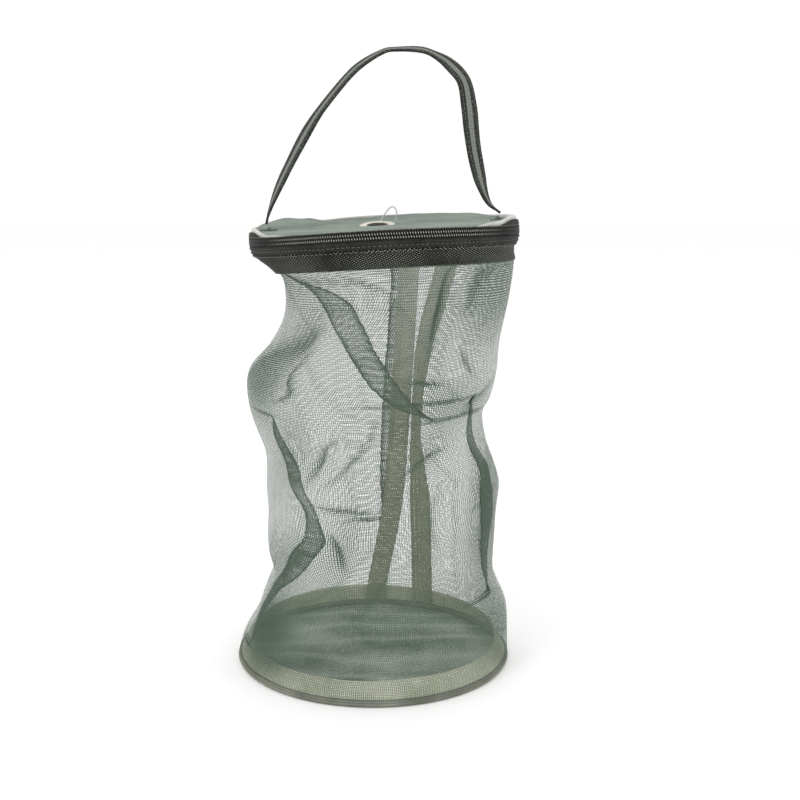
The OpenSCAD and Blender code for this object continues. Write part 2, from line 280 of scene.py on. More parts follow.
def weaveMask(tree, u, v, pitch, share):
    # the threads of both directions together
    return calc(tree, "MAXIMUM", threadMask(tree, u, pitch, share), threadMask(tree, v, pitch, share))


def noise(tree, where, scale, detail):
    return addNode(tree, "ShaderNodeTexNoise", {"Vector": where, "Scale": scale, "Detail": detail}).outputs[0]


def ramp(tree, value, limits):
    # from 0 to 1 between two limits of the value
    low, high = limits
    return addNode(tree, "ShaderNodeMapRange", {"Value": value, "From Min": low, "From Max": high}).outputs[0]


def parts(tree, vector):
    return addNode(tree, "ShaderNodeSeparateXYZ", {0: vector}).outputs


def setSurface(tree, shader, colour, height, strength, depth):
    tree.links.new(colour, shader.inputs["Base Color"])
    if height:
        bump = addNode(tree, "ShaderNodeBump", {"Height": height, "Strength": strength, "Distance": depth})
        tree.links.new(bump.outputs[0], shader.inputs["Normal"])


def showThrough(tree, solid, shader, output):
    # the surface covers this share, and the rest is clear
    clear = addNode(tree, "ShaderNodeBsdfTransparent")
    mixed = addNode(tree, "ShaderNodeMixShader", {0: solid, 1: clear.outputs[0], 2: shader.outputs[0]})
    tree.links.new(mixed.outputs[0], output.inputs["Surface"])


shaderSetup = {
    "netGloss": 0.15, "clothGloss": 0.2, "creaseShade": 0.75, "stripeShade": 0.8, "fleckSize": 0.9,
    # thread relief: strength, and depth as a share of the pitch; surface relief: strength and depth
    "weaveBump": 0.7, "weaveDepth": 0.3, "surfaceBump": 0.25, "surfaceDepth": 0.00008,
    # patch values between which the colour goes from dark to light, and between which a twill's dots come up
    "patchRange": (0.35, 0.65), "dotRange": (0.3, 0.48),
    # heights and fleck values above which a thread catches light
    "dotCut": 0.72, "dotGain": 1.9, "fleckCut": 0.62,
    "arcPower": 3.5, "arcDetail": 2.0, "arcDetailScale": 0.6, "paleFrom": (0.11, 0.19),
    # scuffs against blotches, and how far they change the roughness
    "scuffSize": 9, "smoother": 0.1, "rougher": 0.12,
}


def netMaterial(name, look):
    # open-weave net: threads both ways and clear gaps between them, with painted shade where the cloth is creased or
    # bunched
    material, tree, cloth, output = newMaterial(name)
    uv = addNode(tree, "ShaderNodeUVMap", uv_map="clothUv").outputs[0]
    u, v = parts(tree, uv)[:2]
    # threads crowd together where the cloth is creased
    creaseCrowdAndShade = addNode(tree, "ShaderNodeAttribute", attribute_name="creaseCrowdAndShade").outputs["Fac"]
    share = calc(tree, "ADD", look["thread"] / look["pitch"], calc(tree, "MULTIPLY", creaseCrowdAndShade, look["crowd"]))
    place = addNode(tree, "ShaderNodeTexCoord").outputs["Object"]
    colour = mixColour(tree, noise(tree, place, look["blotch"], 4.0), look["dark"], look["light"])
    # painted shade: the thread colour darkens towards the deep colour where the cloth is creased or bunched
    shaded = calc(tree, "MULTIPLY", creaseCrowdAndShade, shaderSetup["creaseShade"], clamp=True)
    setSurface(tree, cloth, mixColour(tree, shaded, colour, look["deep"]), None, 0, 0)
    cloth.inputs["Roughness"].default_value = look["rough"]
    cloth.inputs["Specular IOR Level"].default_value = shaderSetup["netGloss"]
    showThrough(tree, weaveMask(tree, u, v, look["pitch"], share), cloth, output)
    return material


def weaveHeight(tree, uv, pitch, slant, twill):
    # over and under threads, 0 in the dips and 1 on the crowns
    turned = addNode(tree, "ShaderNodeMapping", {"Vector": uv, "Rotation": (0, 0, math.radians(slant)),
                                                 "Scale": (pitch, pitch, 1)}, vector_type="TEXTURE").outputs[0]
    crowns = [calc(tree, "ABSOLUTE", calc(tree, "SINE", calc(tree, "MULTIPLY", along, math.pi)))
              for along in parts(tree, turned)[:2]]
    if twill:
        # twill shows slanting rows of bright crossings instead of checks
        return calc(tree, "MULTIPLY", *crowns)
    checks = addNode(tree, "ShaderNodeTexChecker", {"Vector": turned, "Scale": 1.0,
                                                    "Color1": (0, 0, 0, 1), "Color2": (1, 1, 1, 1)})
    return addNode(tree, "ShaderNodeMix", {0: checks.outputs["Fac"], 2: crowns[0], 3: crowns[1]}).outputs[0]


def patchColour(tree, look, place, v, blotch):
    # the cloth's colour before the threads: its own blotches and woven stripe, then arcs of painted light and a top
    # painted paler by light from behind
    base = mixColour(tree, ramp(tree, blotch, shaderSetup["patchRange"]), look["dark"], look["light"])
    if "stripe" in look:
        # a paler band woven along the middle of each face
        halfGirth, middle, half = look["stripe"]
        turn = calc(tree, "FRACT", calc(tree, "DIVIDE", v, halfGirth))
        band = calc(tree, "LESS_THAN", calc(tree, "ABSOLUTE", calc(tree, "SUBTRACT", turn, middle)), half)
        base = mixColour(tree, calc(tree, "MULTIPLY", band, shaderSetup["stripeShade"]), base, look["stripeColour"])
    if "arcs" in look:
        # painted light: paler lines where the threads of two layers fall side by side and let light through
        scale, bend, amount = look["arcs"]
        arcs = addNode(tree, "ShaderNodeTexWave", {
            "Vector": place, "Scale": scale, "Distortion": bend, "Detail": shaderSetup["arcDetail"],
            "Detail Scale": shaderSetup["arcDetailScale"]}, wave_type="BANDS", bands_direction="Y")
        line = calc(tree, "POWER", arcs.outputs["Fac"], shaderSetup["arcPower"])
        base = mixColour(tree, calc(tree, "MULTIPLY", line, amount), base, look["glintFleck"])
    if "high" in look:
        # the cloth is paler higher up, where light comes through it from behind
        rise = ramp(tree, parts(tree, place)[2], shaderSetup["paleFrom"])
        base = mixColour(tree, rise, base, look["high"])
    return base


def wovenMaterial(name, look):
    # close woven cloth, tape and webbing, with patchy colour, painted glints on the thread crowns, painted shade in
    # the dips and thread relief
    material, tree, cloth, output = newMaterial(name)
    uv = addNode(tree, "ShaderNodeUVMap", uv_map="clothUv").outputs[0]
    u, v = parts(tree, uv)[:2]
    height = weaveHeight(tree, uv, look["pitch"], look["slant"], "shadow" in look)
    place = addNode(tree, "ShaderNodeTexCoord").outputs["Object"]
    blotch = noise(tree, place, look["blotch"], 5.0)
    glintFleck = noise(tree, uv, shaderSetup["fleckSize"] / look["pitch"], 1.0)
    base = patchColour(tree, look, place, v, blotch)
    # painted shade: the dips between the threads are darkened towards black
    woven = mixColour(tree, height, mixColour(tree, look["dipShade"], base, (0, 0, 0)), base)
    if "shadow" in look:
        # a twill's crossings catch light in patches, but not at its drawn-in left end
        dots = calc(tree, "MULTIPLY", calc(tree, "GREATER_THAN", height, shaderSetup["dotCut"]), glintFleck)
        dots = calc(tree, "MULTIPLY", dots, ramp(tree, blotch, shaderSetup["dotRange"]))
        dots = calc(tree, "MULTIPLY", dots, shaderSetup["dotGain"], clamp=True)
        glint = calc(tree, "MULTIPLY", dots, ramp(tree, parts(tree, place)[0], look["shadow"]))
    else:
        # painted glints: random thread crowns take the pale fleck colour
        glint = calc(tree, "MULTIPLY", calc(tree, "GREATER_THAN", glintFleck, shaderSetup["fleckCut"]), height)
    lit = mixColour(tree, calc(tree, "MULTIPLY", glint, look["glint"]), woven, look["glintFleck"])
    setSurface(tree, cloth, lit, height, shaderSetup["weaveBump"], look["pitch"] * shaderSetup["weaveDepth"])
    cloth.inputs["Roughness"].default_value = look["rough"]
    cloth.inputs["Specular IOR Level"].default_value = look.get("gloss", shaderSetup["clothGloss"])
    if "open" in look:
        # the cloth is thin enough to see through a little
        showThrough(tree, weaveMask(tree, u, v, look["pitch"], look["open"]), cloth, output)
    return material


def smoothMaterial(name, look):
    # moulded, coated or metal surface, with uneven gloss and fine scuffs, and where a look asks for it a painted
    # highlight on the bars' crowns
    material, tree, body, output = newMaterial(name)
    place = addNode(tree, "ShaderNodeTexCoord").outputs["Object"]
    scuff = noise(tree, place, look["blotch"] * shaderSetup["scuffSize"], 3.0)
    colour = mixColour(tree, noise(tree, place, look["blotch"], 5.0), look["dark"], look["light"])
    if "crownGlint" in look:
        # painted highlight where the small bars face outwards from the rim, at the front
        out = vectorCalc(tree, "SUBTRACT", place, (rimPlane["shift"] * mm, 0, 0))[0]
        way = vectorCalc(tree, "NORMALIZE", vectorCalc(tree, "MULTIPLY", out, (1, 1, 0))[0])[0]
        normal = addNode(tree, "ShaderNodeTexCoord").outputs["Normal"]
        facing = vectorCalc(tree, "DOT_PRODUCT", way, normal)["Value"]
        shine = calc(tree, "MULTIPLY", ramp(tree, facing, look["crownFrom"]),
                     ramp(tree, parts(tree, place)[1], look["glintFront"]))
        colour = mixColour(tree, shine, colour, look["crownGlint"])
    setSurface(tree, body, colour, scuff, shaderSetup["surfaceBump"], shaderSetup["surfaceDepth"])
    rough = addNode(tree, "ShaderNodeMapRange", {"Value": scuff, "To Min": look["rough"] - shaderSetup["smoother"],
                                                 "To Max": look["rough"] + shaderSetup["rougher"]})
    tree.links.new(rough.outputs[0], body.inputs["Roughness"])
    body.inputs["Metallic"].default_value = look.get("metal", 0.0)
    if "clear" in look:
        showThrough(tree, look["clear"], body, output)
    return material


# deep: the colour of the painted shade where the net is creased or bunched
netLook = {"pitch": 0.0009, "thread": 0.00019, "blotch": 30.0, "rough": 0.8, "crowd": 0.62,
           "dark": shade(84, 98, 86), "light": shade(100, 114, 101), "deep": shade(58, 72, 62)}
baseNetLook = {"pitch": 0.0012, "slant": 0, "blotch": 26.0, "rough": 0.85, "dipShade": 0.45, "glint": 0.6,
               "dark": shade(92, 112, 100), "light": shade(206, 216, 202), "glintFleck": shade(240, 245, 238),
               # arcs of painted light: how close, how bent, how pale
               "open": 0.68, "arcs": (17.0, 9.0, 0.45)}
oliveTapeLook = {"pitch": 0.0011, "slant": 0, "blotch": 60.0, "rough": 0.85, "dipShade": 0.4, "glint": 0.4,
                 "dark": shade(160, 161, 134), "light": shade(182, 184, 156), "glintFleck": shade(214, 216, 196),
                 "open": 0.64, "high": shade(255, 255, 244)}
footTapeLook = {"pitch": 0.0011, "slant": 0, "blotch": 60.0, "rough": 0.85, "dipShade": 0.4, "glint": 0.65,
                "dark": shade(206, 210, 182), "light": shade(240, 241, 218), "glintFleck": shade(254, 255, 246),
                "open": 0.8}
skirtLook = {"pitch": 0.00135, "slant": 38, "blotch": 40.0, "rough": 0.6, "dipShade": 0.6, "glint": 0.95, "gloss": 0.1,
             "dark": shade(26, 28, 25), "light": shade(40, 42, 38), "glintFleck": shade(134, 138, 130),
             # a twill with painted glint dots, which come up between these two places across
             "shadow": (-0.05, -0.036)}
zipTapeLook = {"pitch": 0.0009, "slant": 0, "blotch": 80.0, "rough": 0.7, "dipShade": 0.6, "glint": 0.25,
               "dark": shade(34, 36, 32), "light": shade(50, 52, 47), "glintFleck": shade(92, 94, 88)}
lidLook = {"pitch": 0.0005, "slant": 0, "blotch": 28.0, "rough": 0.75, "dipShade": 0.18, "glint": 0.25,
           "dark": shade(114, 126, 116), "light": shade(140, 152, 141), "glintFleck": shade(170, 180, 170)}
webbingLook = {"pitch": 0.001, "slant": 0, "blotch": 90.0, "rough": 0.7, "dipShade": 0.7, "glint": 0.45,
               "dark": shade(38, 42, 37), "light": shade(58, 63, 56), "glintFleck": shade(140, 146, 136)}
# stripe: half the strap's girth, and the stripe's middle and half width as shares of it
strapLook = {**webbingLook, "stripe": (0.0103, 0.46, 0.15), "stripeColour": shade(150, 154, 145)}
tabLook = {**webbingLook, "dark": shade(78, 87, 79), "light": shade(104, 115, 105)}
pipingLook = {"pitch": 0.0008, "slant": 45, "blotch": 60.0, "rough": 0.75, "dipShade": 0.3, "glint": 0.3,
              "dark": shade(112, 113, 102), "light": shade(144, 145, 132), "glintFleck": shade(170, 170, 160)}
stripLook = {"pitch": 0.0006, "slant": 0, "blotch": 60.0, "rough": 0.5, "dipShade": 0.1, "glint": 0.2,
             "dark": shade(196, 198, 190), "light": shade(222, 224, 218), "glintFleck": shade(245, 245, 242)}
coilLook = {"blotch": 500.0, "rough": 0.34, "dark": shade(22, 24, 21), "light": shade(40, 42, 38),
            "crownGlint": shade(248, 249, 244),
            # how squarely a bar faces out, and how far to the front it lies, for the painted highlight to show
            "crownFrom": (0.9, 0.99), "glintFront": (-0.036, -0.05)}
threadLook = {"blotch": 600.0, "rough": 0.6, "dark": shade(70, 74, 66), "light": shade(108, 112, 102)}
wireLook = {"blotch": 120.0, "rough": 0.35, "metal": 1.0, "dark": shade(120, 122, 124), "light": shade(170, 172, 174)}
sliderLook = {"blotch": 160.0, "rough": 0.4, "metal": 0.9, "dark": shade(58, 60, 56), "light": shade(88, 90, 84)}
portLook = {"blotch": 120.0, "rough": 0.38, "dark": shade(176, 168, 150), "light": shade(208, 202, 186)}
clearLook = {"blotch": 120.0, "rough": 0.2, "dark": shade(176, 180, 178), "light": shade(214, 216, 214), "clear": 0.5}

wallNet = netMaterial("wallNet", netLook)
(baseNet, oliveTape, footTapeCloth, skirtWeave, zipTape, lidCloth, webbing, lidWebbing, pipingCloth,
 whiteStrip) = (wovenMaterial(name, look) for name, look in (
     ("baseNet", baseNetLook), ("oliveTape", oliveTapeLook), ("footTapeCloth", footTapeLook),
     ("skirtWeave", skirtLook), ("zipTape", zipTapeLook), ("lidCloth", lidLook), ("webbing", strapLook),
     ("lidWebbing", tabLook), ("pipingCloth", pipingLook), ("whiteStrip", stripLook)))
# the port's washer gets a dark colour: painted shade for the inside of its hole
zipCoil, paleThread, springWire, sliderMetal, portPlastic, portHoleShade, clearLine = (
    smoothMaterial(name, look) for name, look in (
        ("zipCoil", coilLook), ("paleThread", threadLook), ("springWire", wireLook), ("sliderMetal", sliderLook),
        ("portPlastic", portLook), ("portHoleShade", {**portLook, "dark": shade(40, 42, 38), "light": shade(60, 62, 57)}),
        ("clearLine", clearLook)))
print("materials ready")


def setPiece(piece, body, node):
    # the body that a piece rides on and the CAD node that it stands for
    if body:
        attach(piece, body)
    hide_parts(node)


def dressNode(node, material):
    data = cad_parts[node].data
    data.materials.clear()
    data.materials.append(material)


# the rim's own plane


def rimToWorld(points):
    points = np.asarray(points, float)
    turn = math.radians(rimPlane["tilt"])
    x, y, z = points[..., 0], points[..., 1], points[..., 2]
    z = z - rimPlane["saddle"] * (x * x - y * y) / rimPlane["radius"] ** 2
    return np.stack([rimPlane["shift"] + x * math.cos(turn) - z * math.sin(turn), y,
                     rimPlane["height"] + x * math.sin(turn) + z * math.cos(turn)], -1) * mm


def ringSections(profile, start=0, arc=360, steps=360, change=None, lay=rimToWorld):
    # a section of (radius, height) points carried round the rim; change(angle, r, z) may reshape it
    angles = np.linspace(start, start + arc, steps + (1 if arc >= 360 else 0))[:steps]
    profile = np.asarray(profile, float)
    r = np.repeat(profile[None, :, 0], steps, 0)
    z = np.repeat(profile[None, :, 1], steps, 0)
    a = np.repeat(angles[:, None], len(profile), 1)
    if change:
        r, z = change(a, r, z)
    turn = np.radians(a)
    return lay(np.stack([r * np.cos(turn), r * np.sin(turn), z], -1))


def ringPiece(name, profile, material, start=0, arc=360, steps=360, change=None, lay=rimToWorld):
    return sweptPiece(name, ringSections(profile, start, arc, steps, change, lay), material, closedPath=arc >= 360)


# net wall

wallSetup = {
    "cloth": (0.411, 0.235), "columns": 460, "rows": 200, "footRadius": 66.6, "footHeight": 1.6, "top": 196.0,
    "topRadius": 61.2, "topDrop": 13.6, "layerGap": 0.7, "drawIn": 30.0, "ripple": 0.9,
    # the depth over which the front and back halves fade into each other
    "sideFade": 16,
    # shares of the height over which the cloth runs out to the rim and down to the base
    "topShare": 0.10, "footShare": 0.05,
    # depth of the upright drapes at the back, and each wave: how many, lean, start and height of one sway
    "drape": 0.8, "drapeWaves": [(1.0, 17, 1.5, 0, 31), (0.7, 27, 1.1, 2, 23)],
    # height, left edge, right edge, half depth
    "outline": [(0, -66.5, 66.5, 66.5), (10, -64.8, 66.3, 66.2), (21, -58.2, 66.2, 65.0), (29, -54.8, 65.0, 63.5),
                (38, -51.6, 61.4, 62.0), (45, -50.0, 59.0, 61.2), (56, -50.4, 58.9, 61.0), (67, -51.3, 59.9, 60.6),
                (78, -51.7, 60.8, 60.0), (88, -52.0, 60.9, 60.5), (98, -52.3, 58.2, 61.0), (108, -53.2, 54.8, 61.5),
                (116, -55.9, 53.4, 61.5), (124, -58.9, 53.3, 61.5), (131, -60.6, 56.6, 61.0),
                (140, -60.9, 58.7, 60.8), (148, -58.2, 59.9, 60.8), (156, -50.8, 60.9, 60.6),
                (163, -46.2, 61.9, 60.2), (170, -43.4, 62.8, 60.0), (178, -42.0, 64.3, 60.2),
                (186, -41.8, 65.9, 60.8), (200, -44.5, 66.8, 61.2)],
}
# where the spare cloth folds over itself: side, then (height, place across, width) from low to high
wallFolds = [
    {"side": "front", "turn": 1, "at": [(128, 27, 0), (130, 23.5, 3), (134, 16, 9), (138, 11, 11), (144, 5.3, 12.7),
                                        (148, 2.4, 13.2), (155, -2.4, 13.8), (161, -6.4, 14.3), (165, -8.6, 15.2),
                                        (171, -12, 17), (176, -15, 18), (180, -17.2, 18), (183, -21, 14),
                                        (187, -29, 6), (193, -33.5, 7), (200, -36, 8.5)]},
    {"side": "front", "turn": -1, "at": [(12, -60, 0), (20, -57, 5), (30, -53, 9), (40, -48, 11), (45, -44.4, 12.8),
                                         (54, -38.4, 14.6), (64, -33, 15.7), (68, -30.5, 15), (73, -28.2, 12.7),
                                         (85, -29.7, 7.5), (95, -35.2, 9), (106, -38, 10), (118, -44.6, 6.5),
                                         (129, -46, 0)]},
    {"side": "front", "turn": -1, "at": [(40, 55, 0), (56, 54.5, 14), (80, 55.5, 20), (98, 53, 17), (107, 48.5, 12),
                                         (116, 45.5, 9), (127, 46, 6), (136, 48, 0)]},
    {"side": "back", "turn": 1, "at": [(50, 5, 0), (75, 6, 5), (110, 8.5, 8), (150, 11, 8), (180, 13, 7),
                                       (200, 13.5, 7)]},
]
# soft dents and ridges: side, height, place across, half length, half width, lean in degrees, depth (in is minus)
wallDents = [
    ("front", 160, -38, 24, 7, 58, -7.0), ("front", 178, 36, 20, 6, -30, -2.6), ("front", 150, 40, 14, 6, 35, -2.0),
    ("front", 145, 24, 12, 4.5, 88, -1.5), ("front", 110, -24, 18, 5.5, -28, -2.6),
    ("front", 89, -12, 20, 5, 80, -1.6), ("front", 68, -17, 13, 5.5, -22, -2.2),
    ("front", 112, 26, 12, 5.5, 65, -1.8), ("front", 120, 10, 24, 9, 30, 3.0), ("front", 100, 30, 18, 7, 10, 2.5),
    ("front", 60, 20, 22, 10, 15, -2.5), ("front", 130, -22, 20, 8, -30, 3.0),
    ("back", 150, 10, 30, 8, 20, 4.0), ("back", 90, -32, 24, 9, -15, -3.5), ("back", 60, 30, 22, 8, 12, 3.5),
    ("back", 120, 50, 14, 6, -25, -3.0), ("back", 170, -30, 20, 7, 30, 4.0),
]
# narrow creases on the front: points as (height, across), half width, depth, and how much painted shade and thread
# crowding the bend gets
wallCreases = [
    ([(196, 47), (190, 36.6), (183, 31.5), (175, 28), (167, 26), (158, 25)], 1.3, -1.8, 0.5),
    ([(190, 55), (184, 47), (175, 42)], 3.4, -3.2, 0.45),
    ([(160, 39), (152, 43), (144, 46.5)], 1.8, -1.4, 0.3),
    ([(146, 14), (145, 22), (143.5, 32)], 1.3, -1.2, 0.45),
    ([(170, -24), (161, -37), (152, -55)], 4.6, -4.2, 0.34),
    ([(160, -27), (148, -37), (141, -36), (136, -44)], 1.9, 2.6, 0.34),
    ([(123, -14), (115, -22), (97, -31)], 2.0, -1.8, 0.35),
    ([(133, 3), (122, -2), (108, -12), (97, -24)], 2.4, 1.8, 0.2),
    ([(89, -28), (88, -15), (88, 2)], 1.4, -1.2, 0.3),
    ([(77, -21), (68, -17), (60, -13)], 2.0, -1.6, 0.35),
    ([(115, 33), (110, 21), (104, 12)], 1.8, -1.4, 0.3),
    ([(100, 30), (84, 26), (66, 30)], 3.0, -2.2, 0.2),
    ([(62, 8), (50, 2), (38, -8)], 2.6, -1.8, 0.2),
    ([(130, 42), (136, 52), (142, 58)], 2.4, -2.0, 0.35),
]
# places on the front where the spare cloth bunches, with denser threads and painted shade:
# height, across, half length, half width, lean in degrees, amount
wallBunches = [
    (146, -56, 22, 11, -80, 0.6), (190, -38, 14, 9, 60, 0.45), (182, 57, 24, 13, 60, 0.5), (136, 34, 14, 10, 0, 0.32),
    (80, 54, 36, 9, 90, 0.6), (24, -50, 17, 12, 45, 1.0), (24, 60, 20, 9, -60, 0.5), (58, -42, 20, 10, 50, 0.35),
    (162, -36, 24, 7, 55, 0.3), (165, 30, 20, 5, 70, 0.12), (70, -14, 20, 7, 70, 0.2), (40, 8, 30, 10, 0, 0.2),
    (112, -38, 24, 8, 75, 0.25), (116, 24, 18, 8, 40, 0.2),
]


def nearLine(x, z, line):
    # distance of points to a broken line, tapered to its two ends
    line = smoothCurve(line, 24)
    best, share = np.full(x.shape, 1e9), np.zeros(x.shape)
    for k in range(len(line) - 1):
        (z0, x0), (z1, x1) = line[k], line[k + 1]
        t = np.clip(((x - x0) * (x1 - x0) + (z - z0) * (z1 - z0)) / ((x1 - x0) ** 2 + (z1 - z0) ** 2), 0, 1)
        away = np.hypot(x - x0 - t * (x1 - x0), z - z0 - t * (z1 - z0))
        closer = away < best
        best, share = np.where(closer, away, best), np.where(closer, (k + t) / (len(line) - 1), share)
    return best, np.sin(math.pi * np.clip(share, 0.04, 0.96)) ** 0.6


def onSide(y, side):
    # 1 on the named half of the wall, fading to 0 where the halves meet
    return easeIn((-y if side == "front" else y) / wallSetup["sideFade"])


def leaningOval(x, z, height, across, long, wide, lean):
    # 1 in the middle of a leaning oval, fading out all round
    a = math.radians(lean)
    dx, dz = x - across, z - height
    p, q = dx * math.cos(a) + dz * math.sin(a), -dx * math.sin(a) + dz * math.cos(a)
    return np.exp(-(p / long) ** 2 - (q / wide) ** 2)


def wallOutline(height):
    table = np.array(wallSetup["outline"], float)
    left, right, deep = (smoothTable(height, table[:, (0, k)]) for k in (1, 2, 3))
    return (left + right) / 2, (right - left) / 2, deep


def foldLines(heights):
    # for each fold, its place along the outline and its width at every height
    u = np.linspace(0, 2 * math.pi, 721)
    middle, half, deep = wallOutline(heights)
    ring = np.stack([half[:, None] * np.cos(u), deep[:, None] * np.sin(u)], -1)
    steps = np.linalg.norm(np.diff(ring, axis=1), axis=2)
    far = np.concatenate([np.zeros((len(heights), 1)), np.cumsum(steps, 1)], 1)
    lines = []
    for fold in wallFolds:
        at = np.array(fold["at"], float)
        across = smoothTable(heights, at[:, :2])
        width = smoothTable(heights, at[:, (0, 2)]) * (heights > at[0, 0])
        turn = np.arccos(np.clip((across - middle) / half, -0.98, 0.98))
        if fold["side"] == "front":
            turn = 2 * math.pi - turn
        place = np.array([np.interp(t, u, f) for t, f in zip(turn, far)])
        # folds lie inside at the front and outside at the back
        lines.append((place, width, fold["turn"], 1 if fold["side"] == "front" else -1))
    return far, u, lines


def topHeight(x, y):
    # where the wall meets the lower edge of the skirt, above a point of the outline
    turn = math.radians(rimPlane["tilt"])
    x = x - rimPlane["shift"]
    drop = -wallSetup["topDrop"] - rimPlane["saddle"] * (x ** 2 - y * y) / rimPlane["radius"] ** 2
    return rimPlane["height"] + x * math.tan(turn) + drop


# the rim cloth is drawn in at the left: angle, half width in degrees and depth
cornerSetup = {"at": 185, "wide": 24, "depth": 11.5}


def cornerPull(angle, drop):
    # how far the cloth is drawn in, at a drop below the rim from 0 to 1
    off = (np.mod(angle - cornerSetup["at"] + 180, 360) - 180) / cornerSetup["wide"]
    return cornerSetup["depth"] * np.exp(-off * off) * np.clip(drop, 0, 1) ** 1.3


def foldedCloth(heights, columns):
    # for each column of cloth, its angle round the outline and how deep it lies where layers fold over
    far, u, lines = foldLines(heights)
    cloth = np.arange(columns) / columns
    angle, depth = np.zeros((len(heights), columns)), np.zeros((len(heights), columns))
    for i in range(len(heights)):
        around = far[i, -1]
        marks = sorted((place[i], width[i], turn, side) for place, width, turn, side in lines if width[i] > 0.05)
        # each fold takes its three layers of cloth from the stretch just beside it
        clothAt, placeAt, depthAt = [0.0], [0.0], [0.0]
        for k, (place, width, turn, side) in enumerate(marks):
            before = marks[k - 1][0] if k else 0.0
            after = marks[k + 1][0] if k + 1 < len(marks) else around
            left, right = (min(wallSetup["drawIn"], max(width, gap / 2)) for gap in (place - before, after - place))
            start, end = place - width / 2, place + width / 2
            pull = (left + right) / (left + right + 2 * width)
            lengths = np.array([0, left - width / 2, left + width / 2, left + 1.5 * width, left + 2.5 * width,
                                left + right + 2 * width])
            clothAt += list(place - left + lengths * pull)
            placeAt += [place - left, start, end, start, end, place + right]
            gap = wallSetup["layerGap"] * side
            depthAt += [0, 0, 0, -gap, -2 * gap, 0] if turn > 0 else [0, -2 * gap, -2 * gap, -gap, 0, 0]
        clothAt, placeAt, depthAt = clothAt + [around], placeAt + [around], depthAt + [0.0]
        at = cloth * around
        angle[i] = np.interp(np.interp(at, clothAt, placeAt), far[i], u)
        depth[i] = np.interp(at, clothAt, depthAt)
    # round the fold edges a little
    for _ in range(2):
        depth = (np.roll(depth, 1, 1) + 2 * depth + np.roll(depth, -1, 1)) / 4
    return angle, depth


def wallRelief(x, y, z, angle, fade):
    # how far dents, creases and drapes push the wall out, and how much denser and darker with painted shade creases
    # and bunches look
    push, dark = np.zeros(x.shape), np.zeros(x.shape)
    for side, height, across, long, wide, lean, deep in wallDents:
        push += onSide(y, side) * deep * leaningOval(x, z, height, across, long, wide, lean) * fade
    for line, wide, deep, shadow in wallCreases:
        away, taper = nearLine(x, z, line)
        near = onSide(y, "front") * taper
        push += deep * np.exp(-(away / wide) ** 2) * near
        dark += shadow * np.exp(-(away / wide * 1.4) ** 2) * near
    for *oval, amount in wallBunches:
        dark += onSide(y, "front") * amount * leaningOval(x, z, *oval)
    drape = sum(size * np.sin(angle * count + start + lean * np.sin(z / sway))
                for size, count, lean, start, sway in wallSetup["drapeWaves"])
    return push + onSide(y, "back") * drape * wallSetup["drape"] * fade, dark


def wallPoints(rows, columns):
    # the whole wall as a rows x columns grid of points, in metres, with its cloth coordinates and its thread density
    # and painted shade
    share = np.linspace(0, 1, rows)[:, None]
    foot, top = wallSetup["footHeight"], wallSetup["top"]
    heights = foot + share[:, 0] * (top - foot)
    angle, depth = foldedCloth(heights, columns)
    middle, half, deep = (q[:, None] for q in wallOutline(heights))
    x, y, z = middle + half * np.cos(angle), deep * np.sin(angle), np.repeat(heights[:, None], columns, 1)
    ripple = waves(np.arange(columns)[None] / columns, share, 11, 8, 1.5, 7) * wallSetup["ripple"]
    fade = np.sin(np.clip(share * 1.02, 0, 1) * math.pi) ** 0.5
    push, dark = wallRelief(x, y, z, angle, fade)
    push += depth + ripple * fade
    nx, ny = np.cos(angle) / half, np.sin(angle) / deep
    size = np.hypot(nx, ny)
    x, y = x + push * nx / size, y + push * ny / size
    # the top rows run out to the rim's own outline, the foot rows to the base
    r = wallSetup["topRadius"] - cornerPull(np.degrees(angle), 1.0)
    drop = np.full_like(r, -wallSetup["topDrop"])
    rim = rimToWorld(np.stack([r * np.cos(angle), r * np.sin(angle), drop], -1)) / mm
    z = z + (topHeight(x, y) - top) * share ** 3
    lift = easeIn((share - 1 + wallSetup["topShare"]) / wallSetup["topShare"])
    x, y, z = (a * (1 - lift) + rim[..., k] * lift for k, a in enumerate((x, y, z)))
    settle = np.clip(1 - share / wallSetup["footShare"], 0, 1) ** 2
    x, y = (a * (1 - settle) + wallSetup["footRadius"] * way(angle) * settle for a, way in ((x, np.cos), (y, np.sin)))
    width, tall = wallSetup["cloth"]
    uvs = np.stack(np.meshgrid(np.arange(columns + 1) / columns * width, share * tall, indexing="xy"), -1)
    return np.stack([x, y, z], -1) * mm, uvs, dark


# crease reading: bends below the start show nothing, then it grows by the gain
creaseSetup = {"aroundFrom": 0.05, "aroundGain": 2.0, "upFrom": 0.06, "upGain": 1.2, "upMost": 0.5}


def bendOf(before, here, after):
    # how far a point lies off the line between its two neighbours, against their distance
    off = np.linalg.norm((before + after) / 2 - here, axis=-1)
    return off / (np.linalg.norm(after - before, axis=-1) / 2 + 1e-5)


def creaseOf(points):
    # how sharply the cloth bends at each point, 0 where it is flat and 1 at a fold's edge
    bend = bendOf(np.roll(points, 1, 1), points, np.roll(points, -1, 1))
    up = np.zeros_like(bend)
    up[1:-1] = bendOf(points[:-2], points[1:-1], points[2:])
    sharp = (np.clip((bend - creaseSetup["aroundFrom"]) * creaseSetup["aroundGain"], 0, 1)
             + np.clip((up - creaseSetup["upFrom"]) * creaseSetup["upGain"], 0, creaseSetup["upMost"]))
    for _ in range(2):
        sharp = (np.roll(sharp, 1, 1) + 2 * sharp + np.roll(sharp, -1, 1)) / 4
    return np.clip(sharp, 0, 1)


